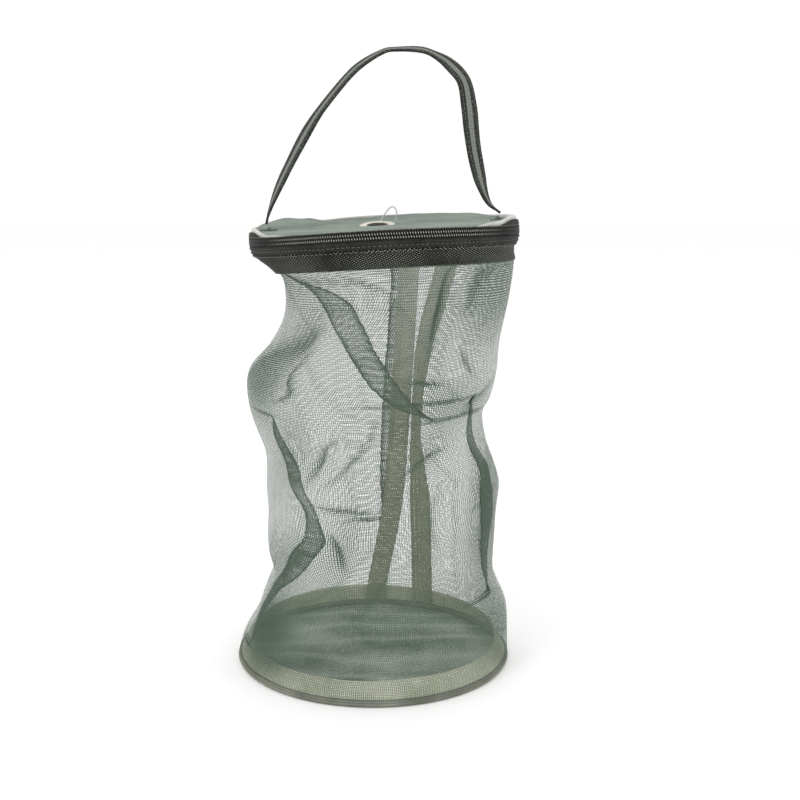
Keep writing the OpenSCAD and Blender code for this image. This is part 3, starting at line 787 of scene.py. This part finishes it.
def makeWall():
    points, uvs, dark = wallPoints(wallSetup["rows"], wallSetup["columns"])
    wall = gridPiece("netWall", points, uvs, wallNet, wrapCols=True)
    # the crease attribute thickens the threads and paints shade into their colour at bends, creases and bunches
    bend = wall.data.attributes.new("creaseCrowdAndShade", "FLOAT", "POINT")
    bend.data.foreach_set("value", np.clip(creaseOf(points) + dark, 0, 1).astype(np.float32).ravel())
    setPiece(wall, None, "mesh_wall")
    return wall


seamSetup = {"width": 10.6, "thick": 0.35, "inset": 2.2, "low": 3, "high": 196, "steps": 120,
             # a slow sway of the depth, and the deeper inset near the top: depth, start, height of the change
             "sway": (0.5, 13.0), "topInset": (2.2, 178, 16),
             # height, share of the width that lies flat to the front
             "leftSpan": [(3, 1), (200, 1)],
             "rightSpan": [(3, 1), (60, 1), (84, 0.72), (100, 0.46), (120, 0.5), (145, 0.78), (170, 1), (200, 1)],
             # height, place across
             "left": [(3, 2), (14, 2.3), (62, 10.6), (110, 14), (150, 16.5), (183, 18.5), (200, 19)],
             "right": [(3, 26.5), (14, 26.5), (62, 25), (100, 22.5), (143, 26), (186, 37), (200, 38)]}


def makeSeamTape(name, line, span, node):
    # a flat tape that runs up the back, just inside the net
    heights = np.linspace(seamSetup["low"], seamSetup["high"], seamSetup["steps"])
    across = smoothTable(heights, line)
    widths = seamSetup["width"] * softTable(heights, span)
    face = [(k / 2, 0) for k in range(-2, 3)]
    swaySize, swayHeight = seamSetup["sway"]
    topInset, topStart, topRise = seamSetup["topInset"]
    sections = []
    for z, x, m, h, d, width in zip(heights, across, *wallOutline(heights), widths):
        ring = []
        for side, layer in face + [(k, 1) for k, _ in face[::-1]]:
            px = x + side * width / 2
            s = min(1.0, abs(px - m) / h)
            # where it is narrow from the front it turns edge on
            edgeOn = side * math.sqrt(max(0.0, seamSetup["width"] ** 2 - width ** 2)) / 2
            inset = seamSetup["inset"] + swaySize * math.sin(z / swayHeight) + layer * seamSetup["thick"]
            inset += max(0.0, edgeOn) + topInset * min(1.0, max(0.0, (z - topStart) / topRise))
            py = (d - inset) * math.sqrt(1 - s * s)
            ring.append((px, py, min(z, float(topHeight(px, py)) + 1)))
        sections.append(ring)
    tape = sweptPiece(name, np.array(sections) * mm, oliveTape)
    setPiece(tape, None, node)
    return tape


for piece in (makeWall(),
              makeSeamTape("seamTapeLeft", seamSetup["left"], seamSetup["leftSpan"], "seam_tape_left"),
              makeSeamTape("seamTapeRight", seamSetup["right"], seamSetup["rightSpan"], "seam_tape_right")):
    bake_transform(piece)
print("net wall and seam tapes ready")

# base

baseSetup = {"panelRadius": 64.2, "panelThick": 0.35, "pipingMid": 65.35, "pipingRound": 1.65,
             # the groove's place, half width in degrees and depth as a share
             "grooveAt": 14, "grooveWide": 13, "grooveDeep": 0.32,
             "tapeFoot": 2.0, "tapeTop": 9.9, "tapeRadius": 66.0, "tapeLean": 5.6, "tapeThick": 0.45,
             # at the back the tape stands more upright and a little taller
             "backUpright": 0.9, "backRise": 1.6,
             # the cloth's middle height, unevenness, its size, and its lowest and highest place
             "panelLift": 0.5, "panelRumple": 0.35, "panelRumpleSize": 130, "panelRange": (0.15, 1.6)}


def flatOnFloor(points):
    return points * mm


def roundProfile(radius, height, size, count=12):
    turns = np.linspace(0, 2 * math.pi, count, endpoint=False)
    return np.stack([radius + size * np.cos(turns), height + size * np.sin(turns)], -1)


def discSheet(name, rings, columns, place, material):
    # a thin closed disc: top and bottom grids of rings, joined at the outer edge and at the hole or middle
    turn = np.linspace(0, 2 * math.pi, columns + 1)[:columns]
    out = np.linspace(0, 1, rings)
    points = np.array([place(share, turn, False) for share in out] + [place(share, turn, True) for share in 1 - out])
    uvs = np.concatenate([points[..., :2], points[:, :1, :2]], 1)
    uvs = np.concatenate([uvs, uvs[:1]], 0)
    return gridPiece(name, points, uvs, material, wrapRows=True, wrapCols=True, flip=True)


def makeBase():
    # a cloth tube over the hoop wire, with the stitched groove on its outer side
    half = baseSetup["pipingRound"]
    profile = []
    for t in np.linspace(0, 2 * math.pi, 32, endpoint=False):
        off = math.degrees(t if t < math.pi else t - 2 * math.pi) - baseSetup["grooveAt"]
        size = half * (1 - baseSetup["grooveDeep"] * math.exp(-(off / baseSetup["grooveWide"]) ** 2))
        profile.append((baseSetup["pipingMid"] + size * math.cos(t), half + size * math.sin(t)))
    piping = ringPiece("baseRing", profile, pipingCloth, lay=flatOnFloor)
    setPiece(piping, "base", "base_piping")

    def panelPlace(share, turn, under):
        r = baseSetup["panelRadius"] * share
        x, y = r * np.cos(turn), r * np.sin(turn)
        wide = baseSetup["panelRumpleSize"]
        rumple = baseSetup["panelRumple"] * waves(x / wide, y / wide, 5, 5, 1, 4) * (1 - share ** 6)
        z = np.clip(baseSetup["panelLift"] + rumple, *baseSetup["panelRange"])
        return np.stack([x, y, z + (0 if under else baseSetup["panelThick"])], -1) * mm

    panel = discSheet("baseCloth", 40, 180, panelPlace, baseNet)
    setPiece(panel, "base", "base_panel")
    size = 2 * baseSetup["panelRadius"] * mm

    def tapeChange(a, r, z):
        wave = 0.35 * waves(a / 360, z / 60, 9, 5, 0.5, 5)
        share = np.clip((z - foot) / (top - foot), 0, 1) ** 1.2
        upright = np.clip(np.sin(np.radians(a)), 0, 1)
        r = r + wave * np.clip(z / 6, 0, 1) + baseSetup["tapeLean"] * baseSetup["backUpright"] * upright * share
        z = z + 0.25 * waves(a / 360, 0 * z, 12, 4, 0, 6) * (z > 8) + baseSetup["backRise"] * upright * share
        return r, z

    foot, top, r, t = (baseSetup[k] for k in ("tapeFoot", "tapeTop", "tapeRadius", "tapeThick"))
    heights = np.linspace(foot, top, 9)
    leaning = [(r - baseSetup["tapeLean"] * ((z - foot) / (top - foot)) ** 1.2, z) for z in heights]
    profile = leaning + [(q - t, z) for q, z in leaning[::-1]]
    tape = ringPiece("footTape", profile, footTapeCloth, change=tapeChange, lay=flatOnFloor)
    setPiece(tape, "base", "foot_tape")
    dressNode("base_wire", springWire)


makeBase()
print("base ready")

# rim: skirt, wire tunnel and lower zip tape

rimSetup = {"skirtTop": -4.6, "skirtFoot": -14.2, "skirtRadius": 61.3, "tunnelRadius": 60.75, "tunnelHeight": -6.15,
            "tunnelRound": 1.25, "tunnelBulge": 1.15, "bulgeHalf": 1.3, "skirtThick": 0.35, "wireRound": 0.9,
            # below this drop the cloth is drawn in, more and more over the next stretch
            "pullFrom": 7.2, "pullOver": 7.0, "pullLift": 0.12,
            # radius and height round the lower zip tape, with the stitched groove
            "tape": [(63.0, -0.3), (63.05, -1.5), (63.2, -1.85), (63.7, -2.2), (63.95, -2.9), (63.8, -3.6),
                     (63.2, -4.15), (62.95, -4.35), (63.4, -4.7), (63.45, -5.2), (62.9, -5.7), (62.3, -5.85),
                     (62.2, -4.5), (62.3, -2.0), (62.4, -0.3)]}


def pulledIn(a, r, z):
    # the left side of the cloth is drawn in below the zip
    drop = np.clip((-z - rimSetup["pullFrom"]) / rimSetup["pullOver"], 0, 1)
    pull = cornerPull(a, drop)
    ripple = 0.3 * waves(a / 360, z / 40, 21, 6, 0.2, 9) * drop
    return r - pull + ripple, z - rimSetup["pullLift"] * pull


def makeRim():
    heights = np.linspace(rimSetup["skirtTop"], rimSetup["skirtFoot"], 26)
    r, middle = rimSetup["skirtRadius"], rimSetup["tunnelHeight"]
    # the cloth bulges over the wire, then hangs
    outer = [(r + rimSetup["tunnelBulge"] * math.exp(-((z - middle) / rimSetup["bulgeHalf"]) ** 4), z)
             for z in heights]
    inner = [(a - rimSetup["skirtThick"], z) for a, z in outer[::-1]]
    skirt = ringPiece("skirtCloth", outer + inner, skirtWeave, change=pulledIn)
    tunnel = ringPiece("wireTunnel", roundProfile(rimSetup["tunnelRadius"], middle, rimSetup["tunnelRound"]), zipTape)
    wire = ringPiece("rimWire", roundProfile(rimSetup["tunnelRadius"] + 0.1, middle, rimSetup["wireRound"], 10),
                     springWire)
    tape = ringPiece("lowerZipTape", rimSetup["tape"], zipTape)
    for piece, node, slotName in ((skirt, "skirt_band", "woven_skirt"), (tunnel, "rim_wire_tunnel", "zip_tape"),
                                  (wire, "rim_wire", "steel_wire"), (tape, "zip_tape_lower", "zip_tape")):
        setPiece(piece, "rim", node)


makeRim()
print("rim ready")

# lid: panel, stiffener, binding and upper zip tape

lidSetup = {
    "panelRadius": 62.0, "panelThick": 0.45, "hole": 5.0, "holeAt": (-3.0, 0.0), "holeHeight": 2.9,
    # angle, height of the panel's edge and of the white strip's top above the rim
    "edge": [(0, 4.8), (23, 4.0), (43, 4.6), (56, 3.9), (72, 3.4), (88, 2.6), (100, 1.9), (117, 2.6), (129, 5.2),
             (144, 7.2), (158, 6.6), (180, 4.8), (200, 4.4), (222, 3.0), (245, 2.0), (270, 1.7), (295, 1.8),
             (318, 3.0), (340, 4.9)],
    "strip": [(0, 6.2), (60, 3.0), (120, 3.2), (180, 6.0), (196, 6.8), (214, 3.2), (235, 1.9), (270, 1.3), (305, 1.9),
              (322, 4.3), (340, 7.1)],
    # how far the strip's top stands over the panel's edge at least, and where the strip and the binding start
    "stripOver": -0.3, "stripFoot": 1.2, "bindingFoot": 1.6, "bindingUnder": 1.9, "bindingLeast": 0.3,
    # unevenness, its size, how far the middle falls to the edge, and the flat ring round the hole
    "rumple": 0.55, "rumpleSize": 125, "fall": 0.4, "flatTo": 8, "flatFade": 12,
    # radius, and height as a share, round the strip and the binding; radius and height round the upper zip tape
    "stripShape": [(62.5, 0), (62.6, 0.7), (62.5, 0.95), (62.2, 1.0), (61.9, 0.95), (61.8, 0.7), (61.9, 0)],
    "bindingShape": [(63.6, 0), (63.9, 0.4), (63.8, 0.8), (63.4, 1.0), (62.9, 0.95), (62.7, 0.6), (62.7, 0)],
    "tape": [(62.4, 0.3), (62.3, 1.6), (62.5, 2.3), (63.2, 2.5), (63.7, 2.3), (63.9, 1.95), (63.6, 1.65), (63.1, 1.4),
             (63.0, 0.3)],
}


def edgeHeight(a):
    return softTable(np.mod(a, 360), lidSetup["edge"], 360)


def stripHeight(a):
    # the strip always reaches the panel's edge, so that no gap shows under a rise in the cloth
    return np.maximum(softTable(np.mod(a, 360), lidSetup["strip"], 360), edgeHeight(a) + lidSetup["stripOver"])


def lidSurface(x, y):
    # height of the lid cloth above the rim's own plane
    r = np.hypot(x, y)
    a = np.degrees(np.arctan2(y, x))
    share = np.clip(r / lidSetup["panelRadius"], 0, 1)
    hole = np.hypot(x - lidSetup["holeAt"][0], y - lidSetup["holeAt"][1])
    wide = lidSetup["rumpleSize"]
    rumple = lidSetup["rumple"] * waves(x / wide, y / wide, 31, 7, 1, 4) * np.clip(1 - share ** 8, 0, 1)
    middle = lidSetup["holeHeight"] - lidSetup["fall"] * share
    free = np.clip((hole - lidSetup["flatTo"]) / lidSetup["flatFade"], 0, 1)
    return middle + (edgeHeight(a) - middle) * share ** 3 + rumple * free


def makeLid():
    def panelPlace(share, turn, under):
        # rays run from the hole's edge to the rim
        ray = np.stack([np.cos(turn), np.sin(turn)], -1)
        hole, edge = np.array(lidSetup["holeAt"]) + lidSetup["hole"] * ray, lidSetup["panelRadius"] * ray
        x, y = (hole + (edge - hole) * share).T
        return rimToWorld(np.stack([x, y, lidSurface(x, y) - (lidSetup["panelThick"] if under else 0.0)], -1))

    panel = discSheet("lidPanel", 46, 200, panelPlace, lidCloth)
    setPiece(panel, "lid", "lid_panel")

    def stripChange(a, r, z):
        return r, lidSetup["stripFoot"] + z * (stripHeight(a) - lidSetup["stripFoot"])

    def bindingChange(a, r, z):
        foot = lidSetup["bindingFoot"]
        return r, foot + z * np.maximum(stripHeight(a) - lidSetup["bindingUnder"] - foot, lidSetup["bindingLeast"])

    for name, shape, material, change, node, slotName in (
            ("lidStiffener", "stripShape", whiteStrip, stripChange, "lid_stiffener", "white_strip"),
            ("lidBinding", "bindingShape", zipTape, bindingChange, "lid_binding", "zip_tape"),
            ("upperZipTape", "tape", zipTape, None, "zip_tape_upper", "zip_tape")):
        setPiece(ringPiece(name, lidSetup[shape], material, change=change), "lid", node)


makeLid()
print("lid ready")

# zip coils and stitches, made with Geometry Nodes

coilSetup = {"radius": 63.75, "pitch": 1.16, "start": 116.5, "arc": 307, "length": 1.8, "thick": 0.27, "slant": 24.0,
             "jitter": 0.05,
             # name, body, node, height and shift in pitches
             "rows": [("lowerCoil", "rim", "zip_teeth_lower", -0.85, 0.0),
                      ("upperCoil", "lid", "zip_teeth_upper", 0.8, 0.62)]}
stitchSetup = {"pitch": 2.3, "length": 1.5, "thick": 0.2, "jitter": 0.06,
               # name, body, radius and height
               "rows": [("skirtStitches", "rim", 62.55, -6.6), ("grooveStitches", "rim", 63.1, -4.35),
                        ("bindingStitches", "lid", 63.75, 2.35)]}


def openTree(name, wanted):
    # a new Geometry Nodes tree with these inputs: their identifiers by label, and their sockets
    tree = bpy.data.node_groups.new(name, "GeometryNodeTree")
    tree.interface.new_socket("Geometry", in_out="OUTPUT", socket_type="NodeSocketGeometry")
    ids = {label: tree.interface.new_socket(label, in_out="INPUT", socket_type="NodeSocket" + kind).identifier
           for kind, labels in wanted for label in labels}
    return tree, ids, addNode(tree, "NodeGroupInput").outputs


def barOnPoints(tree, points, rotation, given):
    # a small bar on every point, and the tree's end
    bar = addNode(tree, "GeometryNodeMeshCylinder", {"Vertices": 6, "Radius": given["Thick"],
                                                     "Depth": given["Length"]})
    bars = addNode(tree, "GeometryNodeInstanceOnPoints", {"Points": points.outputs[0], "Instance": bar.outputs[0],
                                                          "Rotation": rotation.outputs[0]})
    real = addNode(tree, "GeometryNodeRealizeInstances", {0: bars.outputs[0]})
    done = addNode(tree, "GeometryNodeSetMaterial", {"Geometry": real.outputs[0], "Material": given["Material"]})
    tree.links.new(done.outputs[0], addNode(tree, "NodeGroupOutput").inputs[0])


def ringTree():
    # repeats one small bar round a ring; it lies along the ring, or stands up with Upright at 1, leaning by Slant
    tree, ids, given = openTree("repeatRoundRing", [
        ("Int", ("Count", "Seed")), ("Material", ("Material",)),
        ("Float", ("Radius", "Height", "Start", "Step", "Length", "Thick", "Slant", "Upright", "Jitter"))])
    line = addNode(tree, "GeometryNodeMeshLine", {"Count": given["Count"], "Offset": (0, 0, 0)})
    number = addNode(tree, "GeometryNodeInputIndex").outputs[0]
    turn = calc(tree, "ADD", given["Start"], calc(tree, "MULTIPLY", number, given["Step"]))
    chance = addNode(tree, "FunctionNodeRandomValue", {"Seed": given["Seed"]})
    low, high = [s for s in chance.inputs if s.type == "VALUE"][:2]
    low.default_value, high.default_value = -1.0, 1.0
    wobble = calc(tree, "MULTIPLY", [s for s in chance.outputs if s.type == "VALUE"][0], given["Jitter"])
    place = addNode(tree, "ShaderNodeCombineXYZ", {
        0: calc(tree, "MULTIPLY", calc(tree, "COSINE", turn), given["Radius"]),
        1: calc(tree, "MULTIPLY", calc(tree, "SINE", turn), given["Radius"]),
        2: calc(tree, "ADD", given["Height"], wobble)})
    moved = addNode(tree, "GeometryNodeSetPosition", {"Geometry": line.outputs[0], "Position": place.outputs[0]})
    lie = calc(tree, "SUBTRACT", math.pi / 2, calc(tree, "MULTIPLY", given["Upright"], math.pi / 2))
    lean = addNode(tree, "ShaderNodeCombineXYZ", {0: calc(tree, "ADD", lie, given["Slant"]), 1: 0.0, 2: turn})
    barOnPoints(tree, moved, lean, given)
    return tree, ids


def lineTree():
    # a dash on every point of a mesh line, turned to follow it
    tree, ids, given = openTree("stitchesAlongLine", [
        ("Geometry", ("Line",)), ("Float", ("Spacing", "Length", "Thick")), ("Material", ("Material",))])
    curve = addNode(tree, "GeometryNodeMeshToCurve", {0: given["Line"]})
    even = addNode(tree, "GeometryNodeResampleCurve", {"Curve": curve.outputs[0], "Length": given["Spacing"]},
                   mode="LENGTH")
    along = addNode(tree, "GeometryNodeInputTangent").outputs[0]
    turn = addNode(tree, "FunctionNodeAlignRotationToVector", {"Vector": along}, axis="Z")
    barOnPoints(tree, even, turn, given)
    return tree, ids


def grownPiece(name, seed, grower, values, body, lay=None):
    # runs a tree on a seed mesh and keeps the result as a piece; lay then moves its points
    tree, ids = grower
    holder = bpy.data.objects.new(name, seed)
    bpy.context.scene.collection.objects.link(holder)
    modifier = holder.modifiers.new("grow", "NODES")
    modifier.node_group = tree
    for label, value in values.items():
        modifier[ids[label]] = value
    bpy.context.view_layer.update()
    mesh = bpy.data.meshes.new_from_object(holder.evaluated_get(bpy.context.evaluated_depsgraph_get()))
    bpy.data.objects.remove(holder)
    if lay:
        points = np.zeros(len(mesh.vertices) * 3)
        mesh.vertices.foreach_get("co", points)
        mesh.vertices.foreach_set("co", lay(points.reshape(-1, 3)).ravel())
        mesh.polygons.foreach_set("use_smooth", [True] * len(mesh.polygons))
        mesh.update()
    piece = bpy.data.objects.new(name, mesh)
    bpy.context.scene.collection.objects.link(piece)
    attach(piece, body)
    return piece


def makeZip():
    grower = ringTree()

    def repeated(name, body, setup, material, radius, height, count, start, step, **lean):
        values = {"Count": count, "Radius": radius, "Height": height, "Start": math.radians(start),
                  "Step": math.radians(step), "Length": setup["length"], "Thick": setup["thick"],
                  "Jitter": setup["jitter"], "Material": material, **lean}
        return grownPiece(name, bpy.data.meshes.new(name + "Seed"), grower, values, body, rimToWorld)

    step = math.degrees(coilSetup["pitch"] / coilSetup["radius"])
    for name, body, node, height, shift in coilSetup["rows"]:
        coil = repeated(name, body, coilSetup, zipCoil, coilSetup["radius"], height, int(coilSetup["arc"] / step),
                        coilSetup["start"] + shift * step, step, Slant=math.radians(coilSetup["slant"]), Upright=1.0,
                        Seed=3)
        setPiece(coil, None, node)
    for name, body, radius, height in stitchSetup["rows"]:
        count = int(360 / math.degrees(stitchSetup["pitch"] / radius))
        row = repeated(name, body, stitchSetup, paleThread, radius, height, count, 0, 360 / count, Slant=0.0,
                       Upright=0.0, Seed=8)


makeZip()
for node in ("zip_stops_lower", "zip_stops_upper", "slider_body", "slider_bridge", "pull_tab"):
    dressNode(node, sliderMetal)
print("zip and stitches ready")

# cloth hinge between rim and lid

hingeSetup = {"start": 65, "arc": 50, "radius": 63.4, "low": -2.4, "high": 2.2, "bulge": 0.25, "thick": 0.5,
              "bendAt": 63.3, "bendHalf": 0.5}


def makeHinge():
    low, high = hingeSetup["low"], hingeSetup["high"]
    profile = [(hingeSetup["radius"] + hingeSetup["bulge"] * math.sin((z - low) * 0.68), z)
               for z in np.linspace(low, high, 8)]
    profile += [(r - hingeSetup["thick"], z) for r, z in profile[::-1]]
    hinge = ringPiece("hingeCloth", profile, zipTape, start=hingeSetup["start"], arc=hingeSetup["arc"], steps=80)
    setPiece(hinge, None, "hinge_tape")
    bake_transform(hinge)


makeHinge()

# port, clear loop and handle

portSetup = {
    "at": (-3.0, 0.0), "flange": 8.5, "bore": 5.1, "height": 2.8, "lean": 8.5,
    # each corner of the ring and of the washer, whose dark neck lines the hole as painted shade: from which edge, how
    # far out and up
    "ring": [("bore", 0, -1.4), ("bore", 0, 0.1), ("bore", 0.25, 0.35), ("bore", 0.9, 0.5), ("bore", 2.2, 0.5),
             ("flange", -0.7, 0.4), ("flange", -0.1, 0.2), ("flange", 0, 0), ("flange", -0.2, -0.1),
             ("bore", 0.7, -0.1), ("bore", 0.6, -1.4)],
    "washer": [("bore", -0.4, -1.5), ("bore", -0.4, 0.2), ("bore", -0.02, 0.2), ("bore", -0.02, -1.5),
               ("bore", 0.7, -1.5), ("bore", 0.7, -0.7), ("flange", -1.2, -0.7), ("flange", -1.0, -0.9),
               ("flange", -1.0, -1.7), ("bore", 0, -1.7)],
}
loopSetup = {"at": (2.4, 12.0), "wide": 8.6, "tall": 8.0, "thick": 0.42, "flat": 1.9, "foot": 2.6,
             # across as a share of the half width, forward, and height as a share
             "line": [(-0.95, 0, 0), (-0.7, 0.3, 0.3), (-0.15, 0, 0.72), (0.3, -0.4, 0.97), (0.7, 0, 1),
                      (1, 0.2, 0.7), (0.9, 0.1, 0.3), (0.75, 0, 0)]}
strapSetup = {
    "thick": 1.1, "section": [(-1, -0.35), (-0.94, -1), (-0.5, -1), (0, -0.9), (0.5, -1), (0.94, -1), (1, -0.35)],
    "line": [(-55.5, 5.9), (-54.2, 10.6), (-49.4, 21.5), (-41.2, 36.3), (-31.3, 52), (-21.7, 63.7), (-9.4, 76),
             (3.1, 82.9), (10.5, 83.8), (20.8, 83.1), (27, 80.8), (34, 76), (40.5, 68), (42.6, 56), (43.4, 44),
             (44.6, 33), (47.3, 19), (50.4, 10.6), (55.5, 5.9)],
    # share of the length, turn of the strap about its own line in degrees, and its width
    "turn": [(0, 0), (0.04, 14), (0.12, 24), (0.22, 30), (0.3, 22), (0.4, 20), (0.5, 12), (0.58, 18), (0.66, 42),
             (0.76, 54), (0.85, 47), (0.94, 36), (1, 0)],
    "span": [(0, 2.4), (0.03, 4.5), (0.07, 9.5), (0.9, 9.5), (0.96, 5), (1, 2.4)],
}
# place: how far out on the strap's face the stitches run; endGap: steps left free at each end
seamThread = {"pitch": 2.2, "length": 1.5, "thick": 0.16, "place": 0.72, "endGap": 10}


def makePort():
    cx, cy = portSetup["at"]
    bore, flange, height = portSetup["bore"], portSetup["flange"], portSetup["height"]
    turn = np.linspace(0, 2 * math.pi, 65)[:64, None]
    # the washer is dark, a painted shade lining the hole
    for name, node, shape, material in (("portRing", "port_ring", "ring", portPlastic),
                                        ("portWasher", "port_washer", "washer", portHoleShade)):
        r, z = np.array([((bore if edge == "bore" else flange) + out, height + rise)
                         for edge, out, rise in portSetup[shape]]).T
        x, y = cx + r * np.cos(turn), cy + r * np.sin(turn)
        # the cloth sags, so the port leans a little to the front
        z = z + (y - cy) * math.tan(math.radians(portSetup["lean"]))
        piece = sweptPiece(name, rimToWorld(np.stack([x, y, z], -1)), material, closedPath=True)
        setPiece(piece, "lid", node)


def lineFrame(line):
    # the way along a line that lies in the plane across, and its normal there
    tangent = np.gradient(line, axis=0)
    tangent /= np.linalg.norm(tangent, axis=1)[:, None]
    side = np.array([0.0, 1.0, 0.0])
    return tangent, side, np.cross(tangent, side)


def makeHandle():
    points = smoothCurve(np.array([(x, 0, z) for x, z in strapSetup["line"]]), 160)
    share = np.linspace(0, 1, len(points))
    turn = np.radians(softTable(share, strapSetup["turn"]))[:, None]
    widths = softTable(share, strapSetup["span"]) * mm
    tangent, side, normal = lineFrame(points)
    across = np.cos(turn) * side + np.sin(turn) * normal
    up = np.cross(across, tangent)
    # the handle stands in the rim's plane without the saddle
    tilt = math.radians(rimPlane["tilt"])
    lay = np.array([[math.cos(tilt), 0, math.sin(tilt)], [0, 1, 0], [-math.sin(tilt), 0, math.cos(tilt)]])
    line = (points @ lay + np.array([rimPlane["shift"], 0, rimPlane["height"]])) * mm
    across, up = across @ lay, up @ lay
    # a flat rounded section, a little thinner along the middle
    under = strapSetup["section"]
    section = np.array(under + [(a, -b) for a, b in under[::-1]])
    wide, high = widths[:, None] / 2, strapSetup["thick"] * mm / 2
    sections = np.stack([line + a * across * wide + b * up * high for a, b in section], 1)
    strap = sweptPiece("handleStrap", sections, webbing)
    setPiece(strap, "handle", "handle_strap")
    return line, across, up, widths


def makeHandleStitches(line, across, up, widths):
    # two rows on each face, that stop short of the strap's ends
    mesh = bpy.data.meshes.new("handleStitchesSeed")
    points, edges = [], []
    keep = slice(seamThread["endGap"], -seamThread["endGap"])
    for face in (-1, 1):
        for place in (-seamThread["place"], seamThread["place"]):
            offset = across * (widths * place / 2)[:, None] + up * face * strapSetup["thick"] * mm * 0.5
            row = (line + offset)[keep]
            edges += [(len(points) + k, len(points) + k + 1) for k in range(len(row) - 1)]
            points += [tuple(p) for p in row]
    mesh.from_pydata(points, edges, [])
    values = {"Spacing": seamThread["pitch"] * mm, "Length": seamThread["length"] * mm,
              "Thick": seamThread["thick"] * mm, "Material": paleThread}
    stitches = grownPiece("handleStitches", mesh, lineTree(), values, "handle")
    setPiece(stitches, None, "handle_stitching")


def makeLoop():
    # a moulded see-through tab loop that stands on the lid behind the port
    cx, cy = loopSetup["at"]
    w, t, f = loopSetup["wide"] / 2, loopSetup["tall"], loopSetup["foot"]
    line = smoothCurve([(cx + a * w, cy + b, f + c * t) for a, b, c in loopSetup["line"]], 48)
    side, normal = lineFrame(line)[1:]
    # wider than it is thick
    sections = [[p + loopSetup["thick"] * (loopSetup["flat"] * math.cos(k) * side + math.sin(k) * n)
                 for k in np.linspace(0, 2 * math.pi, 9)[:8]] for p, n in zip(line, normal)]
    loop = sweptPiece("clearLoop", rimToWorld(sections), clearLine)
    setPiece(loop, "lid", "clear_loop")


tabSetup = {"anchor": 54.9, "long": 8.0, "wide": 7.0, "thick": 0.4, "sink": 0.1, "within": 61.8,
            # the roll: how far inwards from the patch's middle, its height and half sizes
            "rollShift": 0.6, "rollHeight": 5.4, "rollLong": 1.1, "rollWide": 2.4}


def makeTabs():
    # a sewn patch on the lid, with a small roll that the strap's end passes through
    for side, name, node in ((-1, "handleTabLeft", "handle_tab_left"), (1, "handleTabRight", "handle_tab_right")):
        sections = []
        for k in np.linspace(-0.5, 0.5, 13) * tabSetup["long"]:
            x = side * tabSetup["anchor"] + k
            half = min(tabSetup["wide"] / 2, math.sqrt(max(0.0, tabSetup["within"] ** 2 - x * x)))
            y = np.linspace(-half, half, 9)
            xx = np.full_like(y, x)
            under = lidSurface(xx, y)
            off = (k + tabSetup["rollShift"] * side) / tabSetup["rollLong"]
            hump = (tabSetup["rollHeight"] - under) * math.exp(-off ** 2)
            hump = np.maximum(hump, 0) * np.exp(-(y / tabSetup["rollWide"]) ** 4)
            top = np.stack([xx, y, under + hump + tabSetup["thick"]], -1)
            low = np.stack([xx, y, under - tabSetup["sink"]], -1)
            sections.append(np.vstack([top, low[::-1]]))
        setPiece(sweptPiece(name, rimToWorld(sections), lidWebbing), "lid", node)


makePort()
strapParts = makeHandle()
makeHandleStitches(*strapParts)
makeLoop()
makeTabs()
print("port, loop and handle ready")
